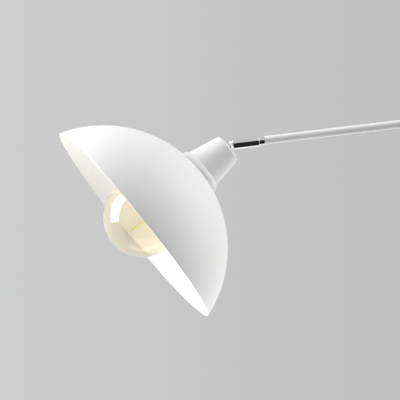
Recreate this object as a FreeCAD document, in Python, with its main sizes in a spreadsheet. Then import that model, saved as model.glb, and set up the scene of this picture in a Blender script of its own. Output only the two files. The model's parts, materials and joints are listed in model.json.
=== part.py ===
"""Arc floor lamp: a weighted round base, a telescoping upright, a bent tube that carries a thin arm,
and a domed shade that hangs on a ball joint at the arm's end.

Millimetres, +Z up. The origin is the centre of the base's underside. The lamp stands in the XZ plane,
and its head is on the -X side.
"""
import FreeCAD, Part
import math
import os
import re

import Sketcher

Vector = FreeCAD.Vector
Y_AXIS = Vector(0, 1, 0)
FULL_TURN = 360
QUARTER_TURN = 90
HEXAGON = 6

document = FreeCAD.newDocument("arc_floor_lamp")
sheet = document.addObject("Spreadsheet::Sheet", "sizes")

# Driving dimensions in millimetres and degrees: alias, value, meaning.
DIMENSIONS = [
    # Base
    ("base_radius", 160, "outside of the base cover"),
    ("base_height", 26, "floor to the top of the base cover"),
    ("cover_wall", 1.5, "sheet of the base cover"),
    ("cover_round", 5, "outer rounding of the cover's top edge"),
    ("pad_radius", 153, "floor pad"),
    ("pad_top", 2.5, "floor pad's thickness"),
    ("plate_radius", 155, "steel plate under the weight"),
    ("plate_top", 4, "floor to the top of the bottom plate"),
    ("weight_radius", 157, "cast iron weight"),
    ("bolt_pocket_radius", 20, "pocket in the weight for the post bolt's head"),
    ("bolt_pocket_top", 19, "floor to the roof of that pocket"),
    ("lead_groove_width", 9, "groove for the lead in the weight's underside"),
    ("lead_groove_top", 16, "floor to the roof of that groove"),
    ("plate_screw_circle", 130, "radius of the circle of bottom plate screws"),
    ("plate_screw_radius", 2, "shank of a bottom plate screw"),
    ("plate_screw_head", 3.8, "countersunk head of a bottom plate screw"),
    ("plate_screw_tip", 12, "floor to the tip of a bottom plate screw"),
    ("terminal_place", 105, "terminal block's distance from the lamp's axis"),
    ("terminal_length", 24, "terminal block along the groove"),
    ("terminal_width", 18, "terminal block across the groove"),
    ("terminal_height", 10, "terminal block"),
    ("inlet_height", 11, "floor to the axis of the lead inlet"),
    ("inlet_bore", 3.4, "lead inlet, radius of its bore"),
    ("lead_level", 7.4, "floor to the lead inside the base"),
    # Upright
    ("post_radius", 14, "outer upright tube"),
    ("post_bore", 12.5, "inside of the outer upright tube"),
    ("post_top", 820, "upper end of the outer upright tube"),
    ("trim_radius", 27, "trim ring round the foot of the upright"),
    ("trim_height", 11, "trim ring"),
    ("plug_height", 26, "threaded plug in the foot of the upright"),
    ("bolt_radius", 8, "hollow bolt that holds the upright"),
    ("bolt_bore", 4.5, "lead hole through that bolt"),
    ("bolt_across", 27.7, "diameter across the corners of its head"),
    ("bolt_head", 5, "height of its head"),
    ("washer_depth", 2.5, "washer under its head"),
    ("riser_radius", 11, "inner upright tube"),
    ("riser_bore", 9.5, "inside of the inner upright tube"),
    ("riser_foot", 420, "lower end of the inner upright tube"),
    ("riser_top", 1180, "upper end of the inner upright tube"),
    ("running_gap", 0.05, "radial clearance of a running fit"),
    # Height clamp
    ("clamp_radius", 18.5, "clamp collar at the top of the outer tube"),
    ("clamp_foot", 790, "lower end of the clamp collar"),
    ("clamp_top", 850, "upper end of the clamp collar"),
    ("clamp_screw_height", 837, "axis of the clamp screw"),
    ("clamp_screw_radius", 3, "clamp screw"),
    ("clamp_pad_length", 4, "pressure pad in front of the clamp screw"),
    ("clamp_boss_radius", 7, "boss for the clamp screw"),
    ("clamp_boss_reach", 25, "face of that boss from the lamp's axis"),
    ("knob_radius", 13, "clamp knob"),
    ("knob_start", 28, "knob's inner face from the lamp's axis"),
    ("knob_length", 16, "clamp knob"),
    ("knob_lobes", 8, "grooves round the clamp knob"),
    ("knob_groove", 2.4, "radius of those grooves"),
    # Bow and arm
    ("bow_radius", 8, "bent tube"),
    ("bow_bore", 6.5, "inside of the bent tube"),
    ("bow_foot", 1080, "lower end of the bent tube, inside the inner upright"),
    ("arc_start", 1270, "height where the bend starts"),
    ("arc_radius", 520, "bend, on the tube's centre line"),
    ("arm_slope", 7, "fall of the arm towards the head, degrees"),
    ("arm_run", 440, "centre line from the end of the bend to the ball"),
    ("bow_run", 60, "straight end of the bent tube after the bend"),
    ("arm_radius", 5, "arm tube"),
    ("arm_bore", 4, "inside of the arm tube"),
    ("arm_insert", 40, "length of arm inside the bent tube"),
    ("lead_radius", 2.1, "inner lead"),
    ("coil_radius", 8, "coiled length of the inner lead"),
    ("coil_foot", 450, "lower end of that coil"),
    ("coil_top", 960, "upper end of that coil"),
    # Ball joint
    ("ball_radius", 5.9, "ball"),
    ("ball_inset", 1.5, "ball centre inside the barrel's mouth"),
    ("barrel_radius", 6.6, "barrel"),
    ("barrel_length", 32.2, "barrel"),
    ("barrel_chamfer", 0.4, "edges of the barrel"),
    ("ferrule_radius", 5.2, "ferrule ring between barrel and arm"),
    ("ferrule_length", 6.8, "visible length of the ferrule ring"),
    ("seat_end", 9.5, "flat end of the ball seat, from the ball's centre"),
    ("spring_sheet", 0.5, "sheet of a disc spring, and the height of its cone"),
    ("spring_step", 1.05, "disc springs' spacing"),
    ("neck_radius", 3, "neck of the ball stud"),
    ("stud_radius", 5, "thread of the ball stud"),
    ("stud_bore", 2.3, "lead hole through the ball stud"),
    # Head, in heights above the plane of the shade's rim
    ("head_bend", 31.8, "fall of the shade's axis below the arm's, degrees"),
    ("ball_height", 153, "ball centre above the rim plane"),
    ("shade_radius", 138, "rim of the shade"),
    ("shade_height", 100.5, "crown of the shade"),
    ("shade_wall", 0.8, "sheet of the shade"),
    ("shade_hole", 19.6, "radius of the hole in the crown"),
    ("collar_foot_radius", 29.3, "foot of the bell collar"),
    ("collar_land", 1, "upright edge at the collar's foot"),
    ("collar_waist_radius", 25.2, "crease above the rounded foot"),
    ("collar_waist_height", 105.8, "crease above the rounded foot"),
    ("collar_foot_round", 9, "radius of the rounded foot"),
    ("collar_neck_radius", 18.5, "collar where its end starts to round"),
    ("collar_neck_height", 142, "collar where its end starts to round"),
    ("collar_end_height", 145, "end face of the collar"),
    ("collar_wall", 1.2, "sheet of the collar"),
    ("collar_hole", 5.05, "radius of the hole in its end"),
    ("nut_across", 16.2, "stud nut, diameter across its corners"),
    ("nut_height", 3.5, "stud nut"),
    ("washer_radius", 9.5, "washer between the stud nut and the collar"),
    # Lampholder and bulb
    ("holder_foot", 76, "mouth of the lampholder"),
    ("holder_radius", 19.4, "threaded skirt of the lampholder"),
    ("holder_bore", 14.7, "inside of the skirt"),
    ("holder_split", 112, "joint between the holder's two shells"),
    ("globe_radius", 47.5, "glass globe"),
    ("globe_centre", 14.8, "centre of the globe"),
    ("glass_wall", 0.9, "glass"),
    ("globe_exit", 18.5, "radius where the globe turns into its shoulder"),
    ("shoulder_radius", 24, "radius of the hollow shoulder"),
    ("bulb_neck_radius", 14.2, "glass neck"),
    ("bulb_neck_height", 70, "lower end of the neck"),
    ("glass_end", 80, "upper end of the neck, inside the cap"),
    ("bulb_cap_radius", 13.1, "screw cap"),
    ("cap_foot", 76, "lower edge of the cap's skirt"),
    ("cap_end", 101.5, "upper edge of the cap"),
    ("tip_foot", 104.2, "lower face of the cap's centre contact"),
    ("tip_end", 106.2, "upper face of the cap's centre contact"),
    ("stem_top", 44, "pinched end of the glass stem"),
    ("stem_radius", 4, "glass stem"),
    ("wire_radius", 0.4, "filament's support wires"),
    ("filament_radius", 0.85, "filament strand"),
    ("filament_offset", 3.8, "plane of the filament, off the bulb's axis"),
    ("filament_spread", 12, "half of the distance between the filament's legs"),
    ("filament_bend", 5.5, "height where the filament's legs meet its bend"),
    ("filament_top", 48, "upper ends of the filament's legs"),
]

# Lengths worked out from the driving dimensions, written the same way as an outline's points.
DERIVED = {
    "cover_bore": "base_radius - cover_wall",
    "weight_top": "base_height - cover_wall",
    "plug_foot": "base_height",
    "ball_x": "-arc_radius * (1 + sin(arm_slope)) - arm_run * cos(arm_slope)",
    "ball_z": "arc_start + arc_radius * cos(arm_slope) - arm_run * sin(arm_slope)",
    "bend_end_x": "-arc_radius * (1 + sin(arm_slope))",
    "bend_end_z": "arc_start + arc_radius * cos(arm_slope)",
    "head_rise": "arm_slope + head_bend",
    "rim_x": "ball_x - ball_height * cos(head_rise)",
    "rim_z": "ball_z - ball_height * sin(head_rise)",
    "dome_radius": "(shade_radius ^ 2 + shade_height ^ 2) / (2 * shade_height)",
    "dome_centre": "shade_height - dome_radius",
    "dome_inside": "dome_radius - shade_wall",
    "crown_seat": "dome_centre + sqrt(dome_radius ^ 2 - shade_hole ^ 2)",
    "seat_radius": "ball_radius + running_gap",
    "barrel_end": "barrel_length - ball_inset",
    "ferrule_start": "barrel_end + 0.2",
    "arm_start": "ferrule_start + ferrule_length",
    "bow_end": "arm_run - bow_run",
    "knob_end": "knob_start + knob_length",
    "globe_inside": "globe_radius - glass_wall",
}

# Where each group of pieces is drawn: x and z of its origin, and its local Z axis's lean towards +X.
PLACES = {
    "lamp": ("0", "0", "0"),
    "inlet": ("0", "inlet_height", "90"),
    "clamp": ("0", "clamp_screw_height", "90"),
    "bend_end": ("bend_end_x", "bend_end_z", "-90 - arm_slope"),
    "arm": ("ball_x", "ball_z", "90 - arm_slope"),
    "head": ("rim_x", "rim_z", "90 - head_rise"),
}

WORD = re.compile(r"[a-z][a-z_]+")
FUNCTIONS = {"sin", "cos", "sqrt"}
made = []


def bind(text):
    """The sheet's own form of an expression: derived names opened out, aliases given their sheet."""
    def word(match):
        name = match.group(0)
        if name in FUNCTIONS:
            return name
        if name in DERIVED:
            return "(" + bind(DERIVED[name]) + ")"
        return "sizes." + name
    return WORD.sub(word, text)


def size(text):
    """The value of an expression, in millimetres or degrees."""
    return float(sheet.evalExpression(bind(text)))


def fill_sheet():
    for row, (alias, value, meaning) in enumerate(DIMENSIONS, start=1):
        sheet.set(f"A{row}", alias)
        sheet.set(f"B{row}", str(value))
        sheet.set(f"C{row}", meaning)
        sheet.setAlias(f"B{row}", alias)
    document.recompute()


def keep(piece, label):
    """Give a finished sub-part its name and put it on the list that is exported."""
    piece.Label = label
    made.append(piece)
    return piece


def place(piece, where):
    """Bind a piece's Placement to one of the lamp's working frames."""
    x, z, lean = PLACES[where]
    piece.Placement = FreeCAD.Placement(Vector(0, 0, 0), FreeCAD.Rotation(Y_AXIS, 1))
    piece.setExpression("Placement.Base.x", bind(x))
    piece.setExpression("Placement.Base.z", bind(z))
    piece.setExpression("Placement.Rotation.Angle", bind(lean))


def new_body(label, where="lamp", kept=True):
    body = document.addObject("PartDesign::Body", label)
    document.recompute()
    place(body, where)
    return keep(body, label) if kept else body


def origin_plane(body, role):
    return next(plane for plane in body.Origin.OriginFeatures if plane.Role == role)


def new_sketch(body, name, role, offset=None):
    """A sketch on one of the body's own origin planes, raised by an expression where one is given."""
    sketch = body.newObject("Sketcher::SketchObject", name)
    sketch.AttachmentSupport = [(origin_plane(body, role), "")]
    sketch.MapMode = "FlatFace"
    if offset is not None:
        sketch.setExpression("AttachmentOffset.Base.z", bind(offset))
    return sketch


def pin_down(sketch, edge, end, across, up):
    """Fix an edge's end at bound distances from the sketch's origin."""
    for kind, text in (("DistanceX", across), ("DistanceY", up)):
        index = sketch.addConstraint(Sketcher.Constraint(kind, -1, 1, edge, end, size(text)))
        sketch.setExpression(f"Constraints[{index}]", bind(text))


def arc_between(start, finish, radius, side):
    """The shorter arc from start to finish, with its centre on the left (+1) or right (-1)."""
    chord = finish - start
    middle = (start + finish) * 0.5
    height = math.sqrt(max(radius ** 2 - (chord.Length / 2) ** 2, 0))
    left = Vector(-chord.y, chord.x, 0).normalize()
    bulge = middle - left * ((radius - height) * side)
    return Part.Arc(start, bulge, finish)


def draw_outline(sketch, outline, closed=True):
    """Draw an outline through bound points.

    A point is (across, up), and an arc leads from it to the next one when it is
    (across, up, radius, side), with the arc's centre on the left (+1) or right (-1) of the way.
    """
    points = [Vector(size(point[0]), size(point[1]), 0) for point in outline]
    edges = len(points) if closed else len(points) - 1
    starts = []
    for index in range(edges):
        start, finish = points[index], points[(index + 1) % len(points)]
        point = outline[index]
        if len(point) == 2:
            edge = sketch.addGeometry(Part.LineSegment(start, finish), False)
            starts.append((edge, 1, 2))
            continue
        radius, side = size(point[2]), point[3]
        edge = sketch.addGeometry(arc_between(start, finish, radius, side), False)
        # A sketch stores its arcs anticlockwise, so one that turns the other way is back to front.
        starts.append((edge, 1, 2) if side > 0 else (edge, 2, 1))
    for index, (edge, first, last) in enumerate(starts):
        following = starts[(index + 1) % len(starts)]
        if closed or index + 1 < len(starts):
            sketch.addConstraint(Sketcher.Constraint("Coincident", edge, last, following[0], following[1]))
        pin_down(sketch, edge, first, outline[index][0], outline[index][1])
        if len(outline[index]) > 2:
            radius = Sketcher.Constraint("Radius", edge, size(outline[index][2]))
            bound = sketch.addConstraint(radius)
            sketch.setExpression(f"Constraints[{bound}]", bind(outline[index][2]))
    if not closed:
        edge, _, last = starts[-1]
        pin_down(sketch, edge, last, outline[-1][0], outline[-1][1])


def draw_circle(sketch, radius, across="0", up="0"):
    centre = Vector(size(across), size(up), 0)
    edge = sketch.addGeometry(Part.Circle(centre, Vector(0, 0, 1), size(radius)), False)
    pin_down(sketch, edge, 3, across, up)
    index = sketch.addConstraint(Sketcher.Constraint("Radius", edge, size(radius)))
    sketch.setExpression(f"Constraints[{index}]", bind(radius))


def revolve(body, outline):
    """Turn an outline, given as (radius, height) points, a full turn round the body's Z axis."""
    sketch = new_sketch(body, body.Name + "_outline", "XZ_Plane")
    draw_outline(sketch, outline)
    turned_piece = body.newObject("PartDesign::Revolution", body.Name + "_turned")
    turned_piece.Profile = sketch
    turned_piece.ReferenceAxis = (sketch, ["V_Axis"])
    turned_piece.Angle = FULL_TURN
    document.recompute()
    return turned_piece


def turned(label, outline, where="lamp", kept=True):
    body = new_body(label, where, kept)
    revolve(body, outline)
    return body


def ring(label, inner, outer, low, high, where="lamp", kept=True):
    """A plain turned ring, or a disc when its inner radius is "0"."""
    outline = [(inner, low), (outer, low), (outer, high), (inner, high)]
    return turned(label, outline, where, kept)


def must_cut(body, before, what):
    if not body.Shape.Volume < before - 1e-3:
        raise RuntimeError(f"{what} cuts nothing from {body.Label}")


def pocket(body, sketch, depth, backwards=False):
    before = body.Shape.Volume
    cut = body.newObject("PartDesign::Pocket", sketch.Name + "_cut")
    cut.Profile = sketch
    cut.setExpression("Length", bind(depth))
    cut.Reversed = backwards
    document.recompute()
    must_cut(body, before, cut.Name)
    return cut


def repeat_round(body, feature, count, role="Z_Axis"):
    """Repeat a feature at even steps round one of the body's own axes."""
    pattern = body.newObject("PartDesign::PolarPattern", feature.Name + "_round")
    pattern.Originals = [feature]
    axis = next(line for line in body.Origin.OriginFeatures if line.Role == role)
    pattern.Axis = (axis, [""])
    pattern.Angle = FULL_TURN
    pattern.Occurrences = count
    body.Tip = pattern
    document.recompute()
    return pattern


def pipe(label, path, plane, profile_plane, foot, outer, inner=None, start=("0", "0"), where="lamp",
         aside=None):
    """A tube or rod drawn along a path of straight runs and tangent arcs.

    The path lies on plane, moved by aside. The section stands on profile_plane, raised by foot, with its
    centre at start.
    """
    body = new_body(label, where)
    spine = new_sketch(body, label + "_path", plane, aside)
    draw_outline(spine, path, closed=False)
    section = new_sketch(body, label + "_section", profile_plane, foot)
    draw_circle(section, outer, *start)
    if inner is not None:
        draw_circle(section, inner, *start)
    swept = body.newObject("PartDesign::AdditivePipe", label + "_pipe")
    swept.Profile = section
    swept.Spine = (spine, [f"Edge{number}" for number in range(1, len(path))])
    document.recompute()
    return body


def primitive(kind, name, **bound):
    piece = document.addObject("Part::" + kind, name)
    for prop, text in bound.items():
        piece.setExpression(prop, bind(text))
    return piece


def group(label, pieces):
    """Several separate solids that are exported as one node."""
    compound = document.addObject("Part::Compound", label)
    compound.Links = pieces
    document.recompute()
    return keep(compound, label)


# ---------------------------------------------------------------------------------------------------------
# Base
# ---------------------------------------------------------------------------------------------------------

PLATE_SCREWS = 4
FIRST_SCREW = 45


def floor_pad():
    ring("floor_pad", "0", "pad_radius", "0", "pad_top")


def screw_place(number):
    """Across and along distances of a bottom plate screw from the lamp's axis."""
    turn = FIRST_SCREW + FULL_TURN / PLATE_SCREWS * number
    return f"plate_screw_circle * cos({turn})", f"plate_screw_circle * sin({turn})"


def bottom_plate():
    body = ring("bottom_plate", "0", "plate_radius", "pad_top", "plate_top")
    hole = new_sketch(body, "plate_hole", "XY_Plane", "plate_top")
    draw_circle(hole, "plate_screw_head + 0.1", *screw_place(0))
    cut = pocket(body, hole, "plate_top")
    repeat_round(body, cut, PLATE_SCREWS)


def bottom_plate_screws():
    """Countersunk screws on a circle, seated flush with the plate's underside."""
    screws = []
    for number in range(PLATE_SCREWS):
        screw = turned(f"plate_screw_{number}", [
            ("0", "pad_top"),
            ("plate_screw_head", "pad_top"),
            ("plate_screw_radius", "plate_top"),
            ("plate_screw_radius", "plate_screw_tip - 1"),
            ("plate_screw_radius - 1", "plate_screw_tip"),
            ("0", "plate_screw_tip"),
        ], kept=False)
        for axis, text in zip("xy", screw_place(number)):
            screw.setExpression(f"Placement.Base.{axis}", bind(text))
        screws.append(screw)
    group("bottom_plate_screws", screws)


def base_weight():
    """Cast disc with a pocket for the post bolt, a lead groove and a terminal pocket in its underside."""
    body = turned("base_weight", [
        ("bolt_radius + 0.5", "bolt_pocket_top"),
        ("bolt_pocket_radius", "bolt_pocket_top"),
        ("bolt_pocket_radius", "plate_top"),
        ("weight_radius - 1", "plate_top"),
        ("weight_radius", "plate_top + 1"),
        ("weight_radius", "weight_top - cover_round"),
        ("weight_radius - cover_round", "weight_top"),
        ("bolt_radius + 0.5", "weight_top"),
    ])
    groove = new_sketch(body, "lead_groove", "XY_Plane", "plate_top")
    half = "lead_groove_width / 2"
    draw_outline(groove, [
        ("10", f"-{half}"), ("weight_radius + 2", f"-{half}"),
        ("weight_radius + 2", half), ("10", half),
    ])
    pocket(body, groove, "lead_groove_top - plate_top", backwards=True)
    recess = new_sketch(body, "terminal_recess", "XY_Plane", "plate_top")
    low, high = "terminal_place - terminal_length / 2 - 2", "terminal_place + terminal_length / 2 + 2"
    side = "terminal_width / 2 + 2"
    draw_outline(recess, [(low, f"-({side})"), (high, f"-({side})"), (high, side), (low, side)])
    pocket(body, recess, "lead_groove_top - plate_top", backwards=True)
    screw_hole = new_sketch(body, "weight_screw_hole", "XY_Plane", "plate_top")
    draw_circle(screw_hole, "plate_screw_radius + 0.05", *screw_place(0))
    cut = pocket(body, screw_hole, "plate_screw_tip - plate_top + 2", backwards=True)
    repeat_round(body, cut, PLATE_SCREWS)


def base_cover():
    """Spun steel cover over the weight, with a hole in its skirt for the lead inlet."""
    inner_round = "cover_round - cover_wall"
    body = turned("base_cover", [
        ("cover_bore", "pad_top"),
        ("base_radius", "pad_top"),
        ("base_radius", "base_height - cover_round", "cover_round", 1),
        ("base_radius - cover_round", "base_height"),
        ("bolt_radius + 0.5", "base_height"),
        ("bolt_radius + 0.5", "weight_top"),
        (f"cover_bore - ({inner_round})", "weight_top", inner_round, -1),
        ("cover_bore", f"weight_top - ({inner_round})"),
    ])
    hole = new_sketch(body, "inlet_hole", "YZ_Plane")
    draw_circle(hole, "inlet_bore + 2.5", "0", "inlet_height")
    pocket(body, hole, "base_radius + 2", backwards=True)


def lead_inlet():
    """Bushing for the lead, snapped into the skirt of the base cover."""
    turned("lead_inlet", [
        ("inlet_bore", "weight_radius + 0.3"),
        ("inlet_bore + 2.8", "weight_radius + 0.3"),
        ("inlet_bore + 3.4", "cover_bore - 0.6"),
        ("inlet_bore + 3.4", "cover_bore - 0.2"),
        ("inlet_bore + 2.4", "cover_bore - 0.2"),
        ("inlet_bore + 2.4", "base_radius"),
        ("inlet_bore + 4", "base_radius"),
        ("inlet_bore + 4", "base_radius + 1.5"),
        ("inlet_bore + 1.6", "base_radius + 6"),
        ("inlet_bore + 0.5", "base_radius + 6"),
        ("inlet_bore", "base_radius + 5.5"),
    ], "inlet")


def terminal_block():
    """Moulded block with two screw terminals, between the inlet and the lamp's own lead."""
    block = primitive("Box", "terminal_body", Length="terminal_length", Width="terminal_width",
                      Height="terminal_height")
    block.setExpression("Placement.Base.x", bind("terminal_place - terminal_length / 2"))
    block.setExpression("Placement.Base.y", bind("-terminal_width / 2"))
    block.setExpression("Placement.Base.z", bind("plate_top + 0.5"))
    holes = []
    screws = []
    for number, side in enumerate((-1, 1)):
        across = f"{side} * terminal_width / 4"
        for row, along in enumerate((-1, 1)):
            hole = primitive("Cylinder", f"terminal_hole_{number}{row}", Radius="2.2", Height="7")
            screw = primitive("Cylinder", f"terminal_screw_{number}{row}", Radius="2", Height="5")
            for piece in (hole, screw):
                lengthways = f"terminal_place + {along} * terminal_length / 4"
                piece.setExpression("Placement.Base.x", bind(lengthways))
                piece.setExpression("Placement.Base.y", bind(across))
                piece.setExpression("Placement.Base.z", bind("plate_top + 0.5"))
            screws.append(screw)
            holes.append(hole)
    drilled = document.addObject("Part::MultiFuse", "terminal_holes")
    drilled.Shapes = holes
    cut = document.addObject("Part::Cut", "terminal_block")
    cut.Base = block
    cut.Tool = drilled
    document.recompute()
    keep(cut, "terminal_block")
    group("terminal_screws", screws)


def post_bolt():
    """Hollow hexagon bolt that pulls the upright down on to the base, with its washer."""
    head = primitive("Prism", "bolt_head_blank", Circumradius="bolt_across / 2", Height="bolt_head")
    head.Polygon = HEXAGON
    head.setExpression("Placement.Base.z", bind("bolt_pocket_top - washer_depth - bolt_head"))
    shank = primitive("Cylinder", "bolt_shank", Radius="bolt_radius",
                      Height="bolt_head + washer_depth + weight_top - bolt_pocket_top + plug_height")
    shank.setExpression("Placement.Base.z", bind("bolt_pocket_top - washer_depth - bolt_head"))
    solid = document.addObject("Part::Fuse", "bolt_solid")
    solid.Base = head
    solid.Tool = shank
    bore = primitive("Cylinder", "bolt_lead_hole", Radius="bolt_bore", Height="base_height + plug_height")
    bolt = document.addObject("Part::Cut", "post_bolt")
    bolt.Base = solid
    bolt.Tool = bore
    document.recompute()
    keep(bolt, "post_bolt")
    ring("post_washer", "bolt_radius + 0.2", "bolt_pocket_radius - 3", "bolt_pocket_top - washer_depth",
         "bolt_pocket_top")


# ---------------------------------------------------------------------------------------------------------
# Upright
# ---------------------------------------------------------------------------------------------------------

def upright_foot():
    ring("post_plug", "bolt_radius", "post_bore", "plug_foot", "plug_foot + plug_height")
    turned("post_trim_ring", [
        ("post_radius + 0.05", "base_height"),
        ("trim_radius", "base_height"),
        ("trim_radius", "base_height + 3", "8", 1),
        ("trim_radius - 7", "base_height + trim_height"),
        ("post_radius + 0.05", "base_height + trim_height"),
    ])


def upright_tubes():
    ring("post_tube", "post_bore", "post_radius", "base_height", "post_top")
    ring("riser_tube", "riser_bore", "riser_radius", "riser_foot", "riser_top")


def upright_bushes():
    """Plastic bushes that guide the inner tube in the outer one."""
    turned("post_bush", [
        ("riser_radius + running_gap", "post_top - 26"),
        ("post_bore - 0.02", "post_top - 26"),
        ("post_bore - 0.02", "post_top"),
        ("post_radius", "post_top"),
        ("post_radius", "post_top + 1.5"),
        ("riser_radius + running_gap", "post_top + 1.5"),
    ])
    turned("riser_foot_bush", [
        ("coil_radius + 0.3", "riser_foot - 5"),
        ("post_bore - 0.6", "riser_foot - 5"),
        ("post_bore - running_gap", "riser_foot - 4.4"),
        ("post_bore - running_gap", "riser_foot"),
        ("riser_bore - 0.02", "riser_foot"),
        ("riser_bore - 0.02", "riser_foot + 22"),
        ("coil_radius + 0.3", "riser_foot + 22"),
    ])


def clamp_collar():
    """Collar over the top of the outer tube, with a boss for the clamp screw."""
    body = turned("clamp_collar", [
        ("post_radius + 0.03", "clamp_foot"),
        ("clamp_radius - 1", "clamp_foot"),
        ("clamp_radius", "clamp_foot + 1"),
        ("clamp_radius", "clamp_top - 3", "3", 1),
        ("clamp_radius - 3", "clamp_top"),
        ("riser_radius + 0.4", "clamp_top"),
        ("riser_radius + 0.4", "post_top + 1.52"),
        ("post_radius + 0.03", "post_top + 1.52"),
    ])
    boss = new_sketch(body, "clamp_boss", "YZ_Plane", "riser_radius + 4")
    draw_circle(boss, "clamp_boss_radius", "0", "clamp_screw_height")
    pad = body.newObject("PartDesign::Pad", "clamp_boss_pad")
    pad.Profile = boss
    pad.setExpression("Length", bind("clamp_boss_reach - riser_radius - 4"))
    document.recompute()
    hole = new_sketch(body, "clamp_screw_hole", "YZ_Plane", "riser_radius - 2")
    draw_circle(hole, "clamp_screw_radius", "0", "clamp_screw_height")
    pocket(body, hole, "clamp_boss_reach", backwards=True)


def clamp_screw():
    """Thumbscrew: pressure pad, screw and knob, drawn along the screw's own axis."""
    thread = "clamp_screw_radius - running_gap"
    turned("clamp_pad", [
        ("0", "riser_radius + 0.05"),
        ("clamp_screw_radius - 0.4", "riser_radius + 0.05"),
        (thread, "riser_radius + 0.5"),
        (thread, "riser_radius + clamp_pad_length"),
        ("0", "riser_radius + clamp_pad_length"),
    ], "clamp")
    turned("clamp_screw", [
        ("0", "riser_radius + clamp_pad_length + 0.05"),
        ("clamp_screw_radius - 0.7", "riser_radius + clamp_pad_length + 0.05"),
        (thread, "riser_radius + clamp_pad_length + 0.7"),
        (thread, "knob_end - 4"),
        ("0", "knob_end - 4"),
    ], "clamp")
    knob = turned("clamp_knob", [
        (thread, "knob_start"),
        ("knob_radius - 5", "knob_start"),
        ("knob_radius - 4", "knob_start + 4", "3", -1),
        ("knob_radius", "knob_start + 6"),
        ("knob_radius", "knob_end - 2", "2", 1),
        ("knob_radius - 2", "knob_end"),
        ("0", "knob_end"),
        ("0", "knob_end - 3.98"),
        (thread, "knob_end - 3.98"),
    ], "clamp")
    groove = new_sketch(knob, "knob_groove", "XY_Plane", "knob_start + 4")
    draw_circle(groove, "knob_groove", "knob_radius + knob_groove / 2")
    cut = pocket(knob, groove, "knob_length", backwards=True)
    repeat_round(knob, cut, int(size("knob_lobes")))


# ---------------------------------------------------------------------------------------------------------
# Bow and arm
# ---------------------------------------------------------------------------------------------------------

def swivel():
    """Bushes in the inner tube's top, and the ring and clip that hold the bow in them."""
    turned("swivel_bush_top", [
        ("bow_radius + running_gap", "riser_top - 28"),
        ("riser_bore - 0.02", "riser_top - 28"),
        ("riser_bore - 0.02", "riser_top"),
        ("riser_radius", "riser_top"),
        ("riser_radius", "riser_top + 2"),
        ("bow_radius + running_gap", "riser_top + 2"),
    ])
    ring("swivel_bush_low", "bow_radius + running_gap", "riser_bore - 0.02", "bow_foot + 5", "bow_foot + 25")
    ring("bow_clip", "bow_radius", "riser_bore - 0.3", "bow_foot + 3", "bow_foot + 4.2")
    body = turned("bow_ring", [
        ("bow_radius + 0.02", "riser_top + 2.1"),
        ("riser_radius + 1", "riser_top + 2.1"),
        ("riser_radius + 1", "riser_top + 11", "2", 1),
        ("riser_radius - 1", "riser_top + 13"),
        ("bow_radius + 0.02", "riser_top + 13"),
    ])
    hole = new_sketch(body, "bow_ring_screw_hole", "YZ_Plane", "bow_radius - 1")
    draw_circle(hole, "1.55", "0", "riser_top + 7")
    pocket(body, hole, "6", backwards=True)
    screw = primitive("Cylinder", "bow_ring_screw", Radius="1.5", Height="3.4")
    screw.Placement = FreeCAD.Placement(Vector(0, 0, 0), FreeCAD.Rotation(Y_AXIS, QUARTER_TURN))
    screw.setExpression("Placement.Base.x", bind("bow_radius + 0.02"))
    screw.setExpression("Placement.Base.z", bind("riser_top + 7"))
    document.recompute()
    keep(screw, "bow_ring_screw")


def bow_path(foot, last):
    """Centre line of the bent tube from a height on the upright to a distance past the bend."""
    return [
        ("0", foot),
        ("0", "arc_start", "arc_radius", 1),
        ("bend_end_x", "bend_end_z"),
        (f"bend_end_x - {last} * cos(arm_slope)", f"bend_end_z - {last} * sin(arm_slope)"),
    ]


def bow():
    pipe("bow_tube", bow_path("bow_foot", "bow_run"), "XZ_Plane", "XY_Plane",
         "bow_foot", "bow_radius", "bow_bore")
    pipe("bow_lead", bow_path("coil_top", "(arm_run - 14)"), "XZ_Plane", "XY_Plane",
         "coil_top", "lead_radius")
    turned("arm_reducer", [
        ("arm_radius + 0.03", "bow_run - 32"),
        ("bow_bore - 0.02", "bow_run - 32"),
        ("bow_bore - 0.02", "bow_run"),
        ("bow_radius", "bow_run"),
        ("bow_radius", "bow_run + 2"),
        ("arm_radius + 0.9", "bow_run + 14"),
        ("arm_radius + 0.03", "bow_run + 14"),
    ], "bend_end")


def arm():
    ring("arm_tube", "arm_bore", "arm_radius", "arm_start", "bow_end + arm_insert", "arm")


# ---------------------------------------------------------------------------------------------------------
# Ball joint, drawn along the arm from the ball's centre
# ---------------------------------------------------------------------------------------------------------

DISC_SPRINGS = 4


def joint_barrel():
    turned("joint_barrel", [
        ("sqrt(seat_radius ^ 2 - ball_inset ^ 2)", "-ball_inset"),
        ("barrel_radius - barrel_chamfer", "-ball_inset"),
        ("barrel_radius", "barrel_chamfer - ball_inset"),
        ("barrel_radius", "barrel_end - barrel_chamfer"),
        ("barrel_radius - barrel_chamfer", "barrel_end"),
        ("stud_radius - 0.45", "barrel_end"),
        ("stud_radius - 0.45", "barrel_end - 2.5"),
        ("seat_radius", "barrel_end - 2.5"),
        ("seat_radius", "0", "seat_radius", -1),
    ], "arm")


def ball_seat():
    rim, mouth = "seat_radius - 0.35", "stud_bore + 1"
    turned("ball_seat", [
        (mouth, f"sqrt(seat_radius ^ 2 - ({mouth}) ^ 2)", "seat_radius", -1),
        (rim, f"sqrt(seat_radius ^ 2 - ({rim}) ^ 2)"),
        ("seat_radius - 0.05", f"sqrt(seat_radius ^ 2 - ({rim}) ^ 2)"),
        ("seat_radius - 0.05", "seat_end"),
        (mouth, "seat_end"),
    ], "arm")


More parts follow.
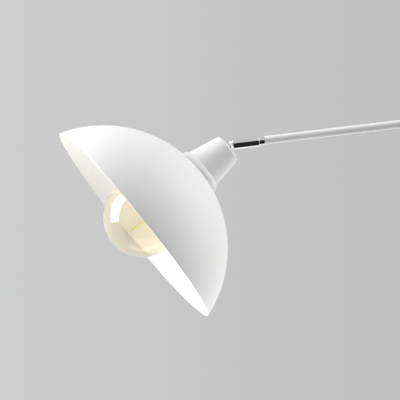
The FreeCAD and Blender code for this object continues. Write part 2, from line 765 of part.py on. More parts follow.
def disc_springs():
    """Coned spring washers, stacked in opposed pairs, that press the seat on to the ball."""
    springs = []
    inner, outer = "stud_bore + 1", "seat_radius - 0.15"
    for number in range(DISC_SPRINGS):
        low = f"seat_end + 0.05 + {number} * spring_step"
        inner_rise, outer_rise = ("spring_sheet", "0") if number % 2 else ("0", "spring_sheet")
        springs.append(turned(f"disc_spring_{number}", [
            (inner, f"{low} + {inner_rise}"),
            (outer, f"{low} + {outer_rise}"),
            (outer, f"{low} + {outer_rise} + spring_sheet"),
            (inner, f"{low} + {inner_rise} + spring_sheet"),
        ], "arm", kept=False))
    group("disc_springs", springs)
    stack_end = f"seat_end + 0.3 + {DISC_SPRINGS} * spring_step"
    ring("spring_spacer", inner, outer, stack_end, "barrel_end - 5.2", "arm")


def arm_ferrule():
    """Ferrule in the arm's end: the barrel turns on its journal and is held by its head."""
    turned("arm_ferrule", [
        ("stud_bore + 0.2", "barrel_end - 5"),
        ("stud_radius + 0.6", "barrel_end - 5"),
        ("stud_radius + 0.6", "barrel_end - 2.6"),
        ("stud_radius - 0.5", "barrel_end - 2.6"),
        ("stud_radius - 0.5", "ferrule_start"),
        ("ferrule_radius - 0.3", "ferrule_start"),
        ("ferrule_radius", "ferrule_start + 0.3"),
        ("ferrule_radius", "arm_start"),
        ("arm_bore - 0.02", "arm_start"),
        ("arm_bore - 0.02", "arm_start + 15"),
        ("stud_bore + 0.2", "arm_start + 15"),
    ], "arm")


# ---------------------------------------------------------------------------------------------------------
# Head, drawn in heights above the rim plane
# ---------------------------------------------------------------------------------------------------------

def ball_stud():
    """Hollow stud: ball, neck, flange and thread in one piece."""
    turned("ball_stud", [
        ("stud_bore", "holder_split + 12"),
        ("stud_radius - running_gap", "holder_split + 12"),
        ("stud_radius - running_gap", "collar_end_height + 0.05"),
        ("stud_radius + 0.8", "collar_end_height + 0.05"),
        ("stud_radius + 0.8", "collar_end_height + 1.1"),
        ("neck_radius", "collar_end_height + 1.1"),
        ("neck_radius", "ball_height - sqrt(ball_radius ^ 2 - neck_radius ^ 2)", "ball_radius", 1),
        ("ball_radius", "ball_height", "ball_radius", 1),
        ("neck_radius + 0.4", "ball_height + sqrt(ball_radius ^ 2 - (neck_radius + 0.4) ^ 2)"),
        ("stud_bore", "ball_height + 1"),
    ], "head")


def stud_nut():
    blank = primitive("Prism", "nut_blank", Circumradius="nut_across / 2", Height="nut_height")
    blank.Polygon = HEXAGON
    hole = primitive("Cylinder", "nut_hole", Radius="stud_radius", Height="nut_height")
    nut = document.addObject("Part::Cut", "stud_nut")
    nut.Base = blank
    nut.Tool = hole
    shift = "rim_{0} + (collar_end_height - 6) * {1}(head_rise)"
    nut.Placement = FreeCAD.Placement(Vector(0, 0, 0), FreeCAD.Rotation(Y_AXIS, 1))
    nut.setExpression("Placement.Base.x", bind(shift.format("x", "cos")))
    nut.setExpression("Placement.Base.z", bind(shift.format("z", "sin")))
    nut.setExpression("Placement.Rotation.Angle", bind("90 - head_rise"))
    document.recompute()
    keep(nut, "stud_nut")
    ring("stud_washer", "stud_radius + 0.2", "washer_radius", "collar_end_height - 2.4",
         "collar_end_height - collar_wall", "head")


def collar_side(inset, upwards):
    """The collar's rounded foot and tapered side at an inset from its outer face, drawn up or down."""
    foot = f"collar_foot_radius - {inset}"
    dome = f"dome_centre + 0.05 + sqrt(dome_radius ^ 2 - ({foot}) ^ 2)"
    shoulder = f"dome_centre + sqrt(dome_radius ^ 2 - collar_foot_radius ^ 2) + collar_land - {inset} / 2"
    waist = (f"collar_waist_radius - {inset}", f"collar_waist_height - {inset} / 4")
    neck = (f"collar_neck_radius - {inset}", f"collar_neck_height - {inset} / 4")
    if upwards:
        return [(foot, dome), (foot, shoulder, "collar_foot_round", 1), waist, neck]
    return [neck, (*waist, f"collar_foot_round - {inset}", -1), (foot, shoulder), (foot, dome)]


def bell_collar():
    end = "collar_end_height"
    turned("bell_collar", [
        *collar_side("0", True)[:-1],
        ("collar_neck_radius", "collar_neck_height", "3.2", 1),
        ("collar_neck_radius - 2.8", end),
        ("collar_hole", end),
        ("collar_hole", f"{end} - collar_wall"),
        ("collar_neck_radius - 3.2", f"{end} - collar_wall"),
        *collar_side("collar_wall", False),
    ], "head")


def shade():
    """Spun dome: part of a sphere, open at the rim, with a hole in its crown."""
    turned("shade", [
        ("shade_radius", "0", "dome_radius", 1),
        ("shade_hole", "crown_seat"),
        ("shade_hole", "dome_centre + sqrt(dome_inside ^ 2 - shade_hole ^ 2)", "dome_inside", -1),
        ("sqrt(dome_inside ^ 2 - dome_centre ^ 2)", "0"),
    ], "head")


def lampholder():
    turned("holder_body", [
        ("holder_bore", "holder_foot"),
        ("holder_radius", "holder_foot"),
        ("holder_radius", "crown_seat + 0.02"),
        ("holder_radius + 3", "crown_seat + 0.02"),
        ("holder_radius + 3", "crown_seat + 2"),
        ("holder_radius - 0.4", "crown_seat + 2"),
        ("holder_radius - 0.4", "holder_split"),
        ("4", "holder_split"),
        ("4", "holder_split - 2"),
        ("holder_bore", "holder_split - 2"),
    ], "head")
    turned("holder_cap", [
        ("holder_radius - 2.2", "holder_split"),
        ("holder_radius - 0.4", "holder_split"),
        ("holder_radius - 0.4", "holder_split + 8"),
        ("12", "holder_split + 18"),
        ("7.5", "holder_split + 18"),
        ("7.5", "holder_split + 21"),
        ("stud_radius", "holder_split + 21"),
        ("stud_radius", "holder_split + 16"),
        ("11", "holder_split + 16"),
        ("holder_radius - 2.2", "holder_split + 7"),
    ], "head")
    turned("shade_ring", [
        ("holder_radius + 0.05", "crown_seat - 8.3"),
        ("holder_radius + 3.5", "crown_seat - 8.3"),
        ("holder_radius + 5.4", "crown_seat - 6.3"),
        ("holder_radius + 5.4", "crown_seat - 1.75"),
        ("holder_radius + 0.05", "crown_seat - 1.75"),
    ], "head")
    ring("thread_shell", "bulb_cap_radius + 0.3", "holder_bore - 0.05", "holder_foot + 8",
         "holder_split - 10", "head")
    turned("holder_contact", [
        ("0", "tip_end + 0.2"),
        ("4.6", "tip_end + 0.2"),
        ("4.6", "tip_end + 1"),
        ("2", "tip_end + 1"),
        ("2", "holder_split + 1"),
        ("0", "holder_split + 1"),
    ], "head")
    ring("head_lead", "0", "lead_radius", "holder_split + 3", "ball_height", "head")


def bulb_glass():
    """Clear globe that narrows through a hollow curve into its neck."""
    neck = "bulb_neck_radius"
    inner_exit = "globe_exit - glass_wall"
    exit_height = "globe_centre + sqrt(globe_radius ^ 2 - globe_exit ^ 2)"
    inner_height = f"globe_centre + sqrt(globe_inside ^ 2 - ({inner_exit}) ^ 2)"
    turned("bulb_glass", [
        ("0", "globe_centre - globe_radius", "globe_radius", 1),
        ("globe_radius", "globe_centre", "globe_radius", 1),
        ("globe_exit", exit_height, "shoulder_radius", -1),
        (neck, "bulb_neck_height"),
        (f"{neck} - 1", "glass_end"),
        (f"{neck} - 1 - glass_wall", "glass_end"),
        (f"{neck} - glass_wall", "bulb_neck_height", "shoulder_radius + glass_wall", 1),
        (inner_exit, inner_height, "globe_inside", -1),
        ("globe_inside", "globe_centre", "globe_inside", -1),
        ("0", "globe_centre - globe_inside"),
    ], "head")


def bulb_cap():
    """Screw cap with a flared skirt, its glass insulator and its centre contact."""
    cap = "bulb_cap_radius"
    turned("bulb_cap", [
        (f"{cap} + 0.75", "cap_foot"),
        (f"{cap} + 1.3", "cap_foot"),
        (f"{cap} + 1.3", "cap_foot + 5.5"),
        (cap, "cap_foot + 7.5"),
        (cap, "cap_end - 1.5"),
        (f"{cap} - 2", "cap_end"),
        (f"{cap} - 2.5", "cap_end"),
        (f"{cap} - 0.5", "cap_end - 1.7"),
        (f"{cap} - 0.5", "cap_foot + 7"),
        (f"{cap} + 0.75", "cap_foot + 5"),
    ], "head")
    turned("bulb_insulator", [
        ("0", "cap_end - 1.5"),
        (f"{cap} - 2.9", "cap_end - 0.1"),
        (f"{cap} - 2.2", "cap_end + 0.1"),
        ("5", "tip_foot"),
        ("0", "tip_foot"),
    ], "head")
    turned("bulb_tip", [
        ("0", "tip_foot"),
        ("4.9", "tip_foot"),
        ("4.9", "tip_foot + 0.7"),
        ("3.5", "tip_end"),
        ("0", "tip_end"),
    ], "head")


def bulb_stem():
    """Glass stem, pinched at its end and flared where it joins the neck."""
    turned("bulb_stem", [
        ("0", "stem_top"),
        ("stem_radius / 2", "stem_top", "stem_radius / 2", 1),
        ("stem_radius", "stem_top + stem_radius / 2"),
        ("stem_radius + 0.2", "glass_end - 20"),
        ("bulb_neck_radius - 2.1", "glass_end - 1"),
        ("0", "glass_end - 1"),
    ], "head")


def filament_wires():
    """Two wires that reach out of the stem to the filament's ends, each with its bead."""
    legs = []
    level = "filament_top + 2.2"
    for number, side in enumerate((-1, 1)):
        wire = primitive("Cylinder", f"support_wire_{number}", Radius="wire_radius",
                         Height="sqrt(filament_offset ^ 2 + filament_spread ^ 2) + 0.6")
        across_wire = Vector(-side * size("filament_spread"), size("filament_offset"), 0)
        wire.Placement = FreeCAD.Placement(Vector(0, 0, 0), FreeCAD.Rotation(across_wire, QUARTER_TURN))
        wire.setExpression("Placement.Base.z", bind(level))
        bead = primitive("Cylinder", f"support_bead_{number}", Radius="filament_radius + 0.3", Height="2.6")
        bead.setExpression("Placement.Base.x", bind("filament_offset"))
        bead.setExpression("Placement.Base.y", bind(f"{side} * filament_spread"))
        bead.setExpression("Placement.Base.z", bind("filament_top + 0.02"))
        legs += [wire, bead]
    supports = document.addObject("Part::MultiFuse", "support_blank")
    supports.Shapes = legs
    stem_hole = primitive("Cylinder", "stem_hole", Radius="stem_radius + 0.1", Height="20")
    stem_hole.setExpression("Placement.Base.z", bind("stem_top - 4"))
    wires = document.addObject("Part::Cut", "filament_wires")
    wires.Base = supports
    wires.Tool = stem_hole
    place(wires, "head")
    document.recompute()
    keep(wires, "filament_wires")


def bulb_filament():
    """Hairpin loop of strand, in a plane beside the bulb's axis."""
    pipe("bulb_filament", [
        ("filament_spread", "filament_top"),
        ("filament_spread", "filament_bend", "filament_spread", -1),
        ("0", "filament_bend - filament_spread", "filament_spread", -1),
        ("-filament_spread", "filament_bend"),
        ("-filament_spread", "filament_top"),
    ], "YZ_Plane", "XY_Plane", "filament_top", "filament_radius",
        start=("filament_offset", "filament_spread"), where="head", aside="filament_offset")


# ---------------------------------------------------------------------------------------------------------
# Leads inside the base and the upright
# ---------------------------------------------------------------------------------------------------------

def inner_leads():
    """The lead from the terminal block up the post, and the coiled length that follows the height."""
    bend = "10"
    start = "terminal_place - terminal_length / 2 - 0.5"
    pipe("post_lead", [
        (start, "lead_level"),
        (bend, "lead_level", bend, -1),
        ("0", f"lead_level + {bend}"),
        ("0", "coil_foot"),
    ], "XZ_Plane", "YZ_Plane", start, "lead_radius", start=("0", "lead_level"))
    ring("lead_coil", "0", "coil_radius", "coil_foot", "coil_top")


def check_document():
    """Stop when any object failed to build or any sub-part is empty or invalid."""
    for item in document.Objects:
        if "Invalid" in item.State or "Error" in item.State:
            raise RuntimeError(f"{item.Label} did not build: {item.State}")
    for piece in made:
        if piece.Shape.isNull() or not piece.Shape.isValid() or not piece.Shape.Solids:
            raise RuntimeError(f"{piece.Label} has no valid shape")


def export():
    os.makedirs("parts", exist_ok=True)
    for piece in made:
        piece.Shape.exportStep(f"parts/{piece.Label}.step")
        box = piece.Shape.BoundBox
        print(f"{piece.Label:22s} solids {len(piece.Shape.Solids)} volume {piece.Shape.Volume:12.1f}"
              f"  x {box.XMin:8.1f} {box.XMax:8.1f}  z {box.ZMin:8.1f} {box.ZMax:8.1f}")


def main():
    fill_sheet()
    for build in (
        floor_pad, bottom_plate, bottom_plate_screws, base_weight, base_cover, lead_inlet, terminal_block,
        post_bolt, upright_foot, upright_tubes, upright_bushes, clamp_collar, clamp_screw,
        swivel, bow, arm, joint_barrel, ball_seat, disc_springs, arm_ferrule,
        ball_stud, stud_nut, bell_collar, shade, lampholder,
        bulb_glass, bulb_cap, bulb_stem, filament_wires, bulb_filament, inner_leads,
    ):
        build()
    document.recompute()
    check_document()
    export()


main()
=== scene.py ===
"""Arc floor lamp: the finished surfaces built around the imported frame, the studio and the camera.

Blender objects are in metres. Outlines are in millimetres, in the working frames of the CAD model: the
upright's (from the floor), the arm's (from the ball, along the arm) and the head's (from the rim plane,
along the shade's axis). The lamp stands in the XZ plane with its head on the -X side.
"""
import json
import math

import bmesh
import bpy
import numpy as np
from mathutils import Matrix, Vector


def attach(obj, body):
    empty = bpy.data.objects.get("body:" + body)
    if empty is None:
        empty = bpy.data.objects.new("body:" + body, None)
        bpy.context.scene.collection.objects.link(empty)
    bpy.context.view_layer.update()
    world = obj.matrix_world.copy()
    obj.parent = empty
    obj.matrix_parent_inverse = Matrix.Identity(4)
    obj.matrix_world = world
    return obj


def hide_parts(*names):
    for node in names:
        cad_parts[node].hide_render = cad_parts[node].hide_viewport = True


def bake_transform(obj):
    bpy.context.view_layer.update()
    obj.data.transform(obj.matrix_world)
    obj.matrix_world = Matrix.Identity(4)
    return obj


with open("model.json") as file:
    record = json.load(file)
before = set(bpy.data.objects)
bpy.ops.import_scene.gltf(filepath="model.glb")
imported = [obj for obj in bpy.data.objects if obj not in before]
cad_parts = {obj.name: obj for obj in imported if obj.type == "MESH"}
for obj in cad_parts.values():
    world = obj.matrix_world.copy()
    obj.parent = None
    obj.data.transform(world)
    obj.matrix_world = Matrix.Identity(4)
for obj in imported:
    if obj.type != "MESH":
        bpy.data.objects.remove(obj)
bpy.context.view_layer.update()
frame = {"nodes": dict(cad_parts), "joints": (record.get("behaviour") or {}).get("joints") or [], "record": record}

MM = 0.001
TAU = 2 * math.pi
JOINTS = {joint["name"]: joint for joint in frame["joints"]}

# Millimetres, as in the CAD model. A bore is an inner radius.
BASE_RADIUS = 160
BASE_HEIGHT = 26
BASE_SHEET = 1.5
PAD_RADIUS = 153
PAD_HEIGHT = 2.5
INLET_BORE = 3.4
INLET_HEIGHT = 11
POST_RADIUS = 14
POST_BORE = 12.5
POST_TOP = 820
RISER_RADIUS = 11
RISER_BORE = 9.5
RISER_FOOT = 420
RISER_TOP = 1180
LEAD_RADIUS = 2.1
CLAMP_SCREW_RADIUS = 2.95
KNOB_START = 28
KNOB_END = 44
RING_BORE = 8.02
RING_LOW = RISER_TOP + 2.1
RING_HIGH = RISER_TOP + 13
RING_RADIUS = 12
BOW_RADIUS = 8
BOW_BORE = 6.5
BOW_FOOT = 1080
ARC_START = 1270
ARC_RADIUS = 520
BOW_RUN = 60
BOW_END = 380
ARM_RADIUS = 5
ARM_BORE = 4
BARREL_END = 30.7
BARREL_RADIUS = 6.6
FERRULE_END = 37.7
BALL_RADIUS = 5.9
BALL_INSET = 1.5
BALL_HEIGHT = 153
STUD_HOLE = 5.05
SHADE_RADIUS = 138
SHADE_HEIGHT = 100.5
DOME_RADIUS = (SHADE_RADIUS ** 2 + SHADE_HEIGHT ** 2) / (2 * SHADE_HEIGHT)
DOME_CENTRE = SHADE_HEIGHT - DOME_RADIUS
SHADE_HOLE = 19.6
SHADE_WALL = 0.8
COLLAR_END = 145
COLLAR_WALL = 1.2
COLLAR_FOOT = 29.3
COLLAR_FOOT_ROUND = 9
COLLAR_WAIST = (25.2, 105.8)
COLLAR_NECK = (18.5, 142)
GLOBE_RADIUS = 47.5
GLOBE_CENTRE = 14.8
GLASS_WALL = 0.9
CAP_RADIUS = 13.1
CAP_PITCH = 3.62

# Gaps between radii: round a part that moves or slips over, and round one that is pressed in.
SLIP = 0.05
PRESS = 0.02


def standing(origin, axis):
    """A frame at origin whose local Z is the axis and whose local Y stays the world's Y."""
    up = Vector(axis).normalized()
    side = Vector((0, 1, 0))
    turned = Matrix((side.cross(up), side, up)).transposed().to_4x4()
    return Matrix.Translation(origin) @ turned


BALL = Vector(JOINTS["head_tilt"]["pos_m"])
ARM_AXIS = Vector(JOINTS["head_swivel"]["axis"]).normalized()
SHADE_AXIS = Vector(JOINTS["head_spin"]["axis"]).normalized()
RIM_CENTRE = BALL - SHADE_AXIS * BALL_HEIGHT * MM
ARM_SLOPE = math.asin(ARM_AXIS.z)

LAMP = Matrix.Identity(4)
ARM = standing(BALL, ARM_AXIS)
HEAD = standing(RIM_CENTRE, SHADE_AXIS)
CLAMP = standing(Vector(JOINTS["clamp_turn"]["pos_m"]), (1, 0, 0))
INLET = standing(Vector((0, 0, INLET_HEIGHT * MM)), (1, 0, 0))
RING_SCREW = standing(Vector((0, 0, (RISER_TOP + 7) * MM)), (1, 0, 0))


# ---------------------------------------------------------------------------------------------------------
# Outlines: lists of (radius, height) points in millimetres
# ---------------------------------------------------------------------------------------------------------

def arc(centre, radius, start, finish, steps):
    """Points on a circle round (radius, height) centre, from start to finish, angles in degrees."""
    angles = np.radians(np.linspace(start, finish, steps + 1))
    return [(centre[0] + radius * math.cos(a), centre[1] + radius * math.sin(a)) for a in angles]


def dome(radius, centre, widths, steps):
    """Part of a sphere on the axis, from one distance off the axis to another, above its centre."""
    start, finish = (math.degrees(math.acos(min(width / radius, 1))) for width in widths)
    return arc((0, centre), radius, start, finish, steps)


def curve(start, finish, radius, side, steps=12):
    """A curve from start to finish, with its centre on the right (+1) or left (-1) of the way."""
    start, finish = np.array(start, float), np.array(finish, float)
    chord = finish - start
    length = np.linalg.norm(chord)
    right = np.array([chord[1], -chord[0]]) / length
    centre = (start + finish) / 2 + side * right * math.sqrt(radius ** 2 - (length / 2) ** 2)
    first, last = (math.degrees(math.atan2(*(point - centre)[::-1])) for point in (start, finish))
    turn = (last - first + 180) % 360 - 180
    return arc(centre, radius, first, first + turn, steps)


def rounded(corners, steps=5):
    """A closed outline through (radius, height) corners, where a third number is a corner's rounding."""
    points = []
    for index, corner in enumerate(corners):
        here = np.array(corner[:2], float)
        if len(corner) == 2:
            points.append(tuple(here))
            continue
        back = np.array(corners[index - 1][:2], float) - here
        ahead = np.array(corners[(index + 1) % len(corners)][:2], float) - here
        back /= np.linalg.norm(back)
        ahead /= np.linalg.norm(ahead)
        half = math.acos(float(np.clip(back @ ahead, -1, 1))) / 2
        inward = (back + ahead) / np.linalg.norm(back + ahead)
        centre = here + inward * corner[2] / math.sin(half)
        reach = corner[2] / math.tan(half)
        first, last = (math.atan2(*(here + way * reach - centre)[::-1]) for way in (back, ahead))
        sweep_angle = (last - first + math.pi) % TAU - math.pi
        for share in np.linspace(0, 1, steps + 1):
            angle = first + sweep_angle * share
            points.append((centre[0] + corner[2] * math.cos(angle), centre[1] + corner[2] * math.sin(angle)))
    return points


def rows(outline, spacing):
    """The outline with extra points, so that none of its runs is longer than the spacing."""
    points = []
    for index, here in enumerate(outline):
        ahead = outline[(index + 1) % len(outline)]
        pieces = max(1, math.ceil(math.dist(here, ahead) / spacing))
        for step in range(pieces):
            share = step / pieces
            points.append((here[0] + (ahead[0] - here[0]) * share, here[1] + (ahead[1] - here[1]) * share))
    return points


# ---------------------------------------------------------------------------------------------------------
# Meshes
# ---------------------------------------------------------------------------------------------------------

SHARP = math.radians(32)
SAME_PLACE = 1e-6


def skin(name, rings, place):
    """A closed surface through equal rings of points in millimetres, the last joined to the first."""
    count, around = rings.shape[:2]
    mesh = bpy.data.meshes.new(name)
    faces = []
    for ring in range(count):
        following = (ring + 1) % count
        for step in range(around):
            beside = (step + 1) % around
            faces.append((ring * around + step, ring * around + beside,
                          following * around + beside, following * around + step))
    mesh.from_pydata((rings.reshape(-1, 3) * MM).tolist(), [], faces)
    shape = bmesh.new()
    shape.from_mesh(mesh)
    bmesh.ops.remove_doubles(shape, verts=shape.verts, dist=SAME_PLACE)
    bmesh.ops.recalc_face_normals(shape, faces=shape.faces)
    shape.to_mesh(mesh)
    shape.free()
    mesh.shade_smooth()
    mesh.set_sharp_from_angle(angle=SHARP)
    piece = bpy.data.objects.new(name, mesh)
    bpy.context.scene.collection.objects.link(piece)
    piece.matrix_world = place
    return piece


def lathe(name, outline, place, around=128, relief=None):
    """An outline turned round the local Z axis. Relief gives each point's rise from angle, radius, height."""
    radii, heights = (column[:, None] for column in np.array(outline, float).T)
    angles = np.linspace(0, TAU, around, endpoint=False)[None, :]
    if relief is not None:
        radii = radii + relief(angles, radii, heights)
    rings = np.stack([radii * np.cos(angles), radii * np.sin(angles), heights + 0 * angles], axis=-1)
    return skin(name, rings, place)


def sweep(name, path, place, outer, inner=0, around=32):
    """A tube, or a rod with inner 0, along a path of points in millimetres."""
    path = np.array(path, float)
    tangents = np.gradient(path, axis=0)
    tangents /= np.linalg.norm(tangents, axis=1)[:, None]
    side = np.cross(tangents[0], (0.0, 1.0, 0.0))
    if np.linalg.norm(side) < 0.1:
        side = np.cross(tangents[0], (1.0, 0.0, 0.0))
    sides = []
    for tangent in tangents:
        side = side - tangent * (side @ tangent)
        side = side / np.linalg.norm(side)
        sides.append(side)
    sides = np.array(sides)
    others = np.cross(tangents, sides)
    angles = np.linspace(0, TAU, around, endpoint=False)[None, :, None]
    circle = sides[:, None] * np.cos(angles) + others[:, None] * np.sin(angles)
    outside = path[:, None] + circle * outer
    inside = path[:, None] + circle * inner
    if inner == 0:
        inside = inside[[0, -1]]
    return skin(name, np.concatenate([outside, inside[::-1]]), place)


# ---------------------------------------------------------------------------------------------------------
# Materials
# ---------------------------------------------------------------------------------------------------------

def add_node(tree, kind, inputs=None, **settings):
    """A shader node with its own settings, whose inputs are values or the sockets that feed them."""
    made = tree.nodes.new("ShaderNode" + kind)
    for name, value in settings.items():
        setattr(made, name, value)
    for name, value in (inputs or {}).items():
        socket = made.inputs[name]
        if isinstance(value, bpy.types.NodeSocket):
            tree.links.new(value, socket)
        else:
            socket.default_value = value
    return made


def new_material(name, **shader_values):
    """A material, its tree and its Principled shader, with constants set on the shader's own sockets."""
    material = bpy.data.materials.new(name)
    material.use_nodes = True
    tree = material.node_tree
    shader = next(node for node in tree.nodes if node.type == "BSDF_PRINCIPLED")
    for socket, value in shader_values.items():
        shader.inputs[socket.replace("_", " ")].default_value = value
    return material, tree, shader


def noise(tree, scale, detail=3.0, stretch=(1, 1, 1), roughness=0.55):
    """Noise in the piece's own space. Its scale is in features per metre, before the stretch."""
    own_space = add_node(tree, "TexCoord").outputs["Object"]
    mapped = add_node(tree, "Mapping", {"Vector": own_space, "Scale": stretch}).outputs["Vector"]
    inputs = {"Vector": mapped, "Scale": scale, "Detail": detail, "Roughness": roughness}
    return add_node(tree, "TexNoise", inputs).outputs["Fac"]


def spread(tree, value, low, high, start=0.3, finish=0.7):
    """Noise drawn out to a range of values."""
    inputs = {"Value": value, "From Min": start, "From Max": finish, "To Min": low, "To Max": high}
    return add_node(tree, "MapRange", inputs).outputs["Result"]


def blend_colours(tree, value, *stops):
    """A colour ramp through (position, linear colour) stops."""
    ramp = add_node(tree, "ValToRGB", {"Fac": value})
    elements = ramp.color_ramp.elements
    while len(elements) < len(stops):
        elements.new(1)
    for element, (position, colour) in zip(elements, stops):
        element.position = position
        element.color = (*colour, 1)
    return ramp.outputs["Color"]


def shades_of(colour, change):
    """Two ramp stops a little darker and a little lighter than a colour."""
    darker = tuple(part * (1 - change) for part in colour)
    lighter = tuple(min(part * (1 + change), 1) for part in colour)
    return (0.3, darker), (0.7, lighter)


def bump(tree, shader, height, depth, previous=None):
    """Relief of a depth in metres, laid on any relief before it."""
    inputs = {"Height": height, "Distance": depth, "Strength": 1.0}
    if previous is not None:
        inputs["Normal"] = previous
    normal = add_node(tree, "Bump", inputs).outputs["Normal"]
    tree.links.new(normal, shader.inputs["Normal"])
    return normal


def feed(tree, shader, **links):
    """Link sources to the shader's sockets, whose names have _ in place of a space."""
    for socket, source in links.items():
        tree.links.new(source, shader.inputs[socket.replace("_", " ")])


def powder_coat(name, colour, rough, peel=0.00002):
    """Matt powder coat: a fine orange peel over a coarser one, and a faint broad unevenness."""
    material, tree, shader = new_material(name, Specular_IOR_Level=0.45)
    broad = noise(tree, 7, detail=4)
    grain = noise(tree, 1100, detail=2)
    feed(tree, shader,
         Base_Color=blend_colours(tree, broad, *shades_of(colour, 0.012)),
         Roughness=spread(tree, noise(tree, 60), rough - 0.05, rough + 0.05))
    peel_relief = bump(tree, shader, grain, peel)
    bump(tree, shader, noise(tree, 260, detail=1), peel * 1.5, peel_relief)
    return material


def polished_chrome():
    """Bright plating with turning marks round the axis and faint handling haze."""
    material, tree, shader = new_material("chrome_plate", Metallic=1.0)
    haze = noise(tree, 120, detail=5)
    marks = noise(tree, 30, detail=4, stretch=(1, 1, 90))
    feed(tree, shader,
         Base_Color=blend_colours(tree, haze, *shades_of((0.86, 0.865, 0.875), 0.03)),
         Roughness=spread(tree, haze, 0.045, 0.11))
    bump(tree, shader, marks, 0.000002)
    return material


def bare_metal(name, colour, rough):
    """Plated or bare metal with turned lines and uneven tarnish."""
    material, tree, shader = new_material(name, Metallic=1.0)
    tarnish = noise(tree, 90, detail=5)
    turned = noise(tree, 25, detail=5, stretch=(1, 1, 60))
    feed(tree, shader,
         Base_Color=blend_colours(tree, tarnish, *shades_of(colour, 0.08)),
         Roughness=spread(tree, turned, rough - 0.07, rough + 0.09))
    bump(tree, shader, turned, 0.000006)
    return material


def cast_iron():
    """Rough sand casting under a thin black wash."""
    material, tree, shader = new_material("cast_iron_skin", Metallic=0.4)
    sand = noise(tree, 420, detail=6, roughness=0.7)
    feed(tree, shader,
         Base_Color=blend_colours(tree, noise(tree, 30, detail=5), *shades_of((0.045, 0.043, 0.042), 0.35)),
         Roughness=spread(tree, sand, 0.62, 0.9))
    bump(tree, shader, sand, 0.0003)
    return material


def moulded_plastic(name, colour, rough, subsurface=0.0):
    """Injection moulded plastic with a spark-eroded texture."""
    material, tree, shader = new_material(name, Subsurface_Weight=subsurface, Subsurface_Scale=0.002)
    grain = noise(tree, 1600, detail=2)
    feed(tree, shader,
         Base_Color=blend_colours(tree, noise(tree, 25, detail=4), *shades_of(colour, 0.02)),
         Roughness=spread(tree, grain, rough - 0.06, rough + 0.06))
    bump(tree, shader, grain, 0.000025)
    return material


def pad_rubber():
    """Dense black rubber sheet with a fine even tooth."""
    material, tree, shader = new_material("pad_rubber_sheet")
    tooth = noise(tree, 700, detail=3)
    feed(tree, shader,
         Base_Color=blend_colours(tree, noise(tree, 60, detail=5), *shades_of((0.02, 0.02, 0.021), 0.3)),
         Roughness=spread(tree, tooth, 0.7, 0.92))
    bump(tree, shader, tooth, 0.0002)
    return material


def blown_glass(name, colour, clear=1.0):
    """Glass with a tint that varies a little and slightly wavy walls. With clear below 1 it has a lustre."""
    material, tree, shader = new_material(name, Transmission_Weight=clear, IOR=1.46)
    feed(tree, shader,
         Base_Color=blend_colours(tree, noise(tree, 22, detail=2), *shades_of(colour, 0.012)),
         Roughness=spread(tree, noise(tree, 45, detail=4), 0.0, 0.012))
    bump(tree, shader, noise(tree, 24, detail=1), 0.00012)
    return material


def phosphor():
    """Yellow silicone over a row of tiny light chips: a soft coat with a fine beading."""
    material, tree, shader = new_material("filament_phosphor", Subsurface_Weight=0.25, Subsurface_Scale=0.001)
    beads = noise(tree, 700, detail=2)
    feed(tree, shader,
         Base_Color=blend_colours(tree, beads, (0.35, (0.90, 0.80, 0.26)), (0.65, (0.97, 0.91, 0.42))),
         Roughness=spread(tree, beads, 0.35, 0.55))
    bump(tree, shader, beads, 0.0001)
    return material


def woven_sheath():
    """White lead under a fine braid, drawn by two crossed sets of bands."""
    material, tree, shader = new_material("lead_braid", Sheen_Weight=0.3, Sheen_Roughness=0.5)
    own_space = add_node(tree, "TexCoord").outputs["Object"]
    crossed = []
    for turn in (math.radians(45), math.radians(-45)):
        turned = add_node(tree, "Mapping", {"Vector": own_space, "Rotation": (0, turn, 0)}).outputs["Vector"]
        wave = add_node(tree, "TexWave", {"Vector": turned, "Scale": 400.0, "Distortion": 0.6})
        crossed.append(wave.outputs["Fac"])
    braid = add_node(tree, "Math", {0: crossed[0], 1: crossed[1]}, operation="MAXIMUM").outputs["Value"]
    feed(tree, shader,
         Base_Color=blend_colours(tree, braid, (0.2, (0.52, 0.52, 0.51)), (0.8, (0.80, 0.80, 0.78))),
         Roughness=spread(tree, braid, 0.75, 0.9, 0, 1))
    bump(tree, shader, braid, 0.0002)
    return material


def floor_plaster():
    """Pale, even floor with a faint mottle."""
    material, tree, shader = new_material("floor_plaster", Specular_IOR_Level=0.3)
    feed(tree, shader,
         Base_Color=blend_colours(tree, noise(tree, 3, detail=6), *shades_of((0.60, 0.60, 0.595), 0.02)),
         Roughness=spread(tree, noise(tree, 20, detail=4), 0.55, 0.7))
    bump(tree, shader, noise(tree, 180, detail=4), 0.0002)
    return material


WHITE = (0.86, 0.86, 0.855)
FINISHES = {
    "white_paint": powder_coat("white_powder_coat", WHITE, 0.46),
    "chrome": polished_chrome(),
    "zinc_steel": bare_metal("zinc_plate", (0.62, 0.63, 0.66), 0.32),
    "cast_iron": cast_iron(),
    "pad_rubber": pad_rubber(),
    "white_plastic": moulded_plastic("white_moulding", (0.80, 0.80, 0.79), 0.42, 0.05),
    "holder_plastic": moulded_plastic("holder_moulding", (0.83, 0.83, 0.81), 0.36, 0.05),
    "brass": bare_metal("brass_sheet", (0.80, 0.60, 0.27), 0.26),
    "bulb_cap_metal": bare_metal("cap_aluminium", (0.82, 0.80, 0.77), 0.24),
    "tinted_glass": blown_glass("tinted_globe_glass", (0.99, 0.945, 0.83), clear=0.88),
    "clear_glass": blown_glass("stem_glass", (0.985, 0.985, 0.975)),
    "black_insulator": moulded_plastic("vitrified_insulator", (0.012, 0.011, 0.015), 0.2),
    "wire_metal": bare_metal("support_nickel", (0.66, 0.63, 0.59), 0.25),
    "filament": phosphor(),
    "lead_sheath": woven_sheath(),
}
# The shade's inside: the white paint made lighter and warmer. This is painted light that stands in for light
# through the tinted bulb.
SHADE_INSIDE = powder_coat("shade_inside_painted_light", (0.94, 0.93, 0.905), 0.38, 0.00001)


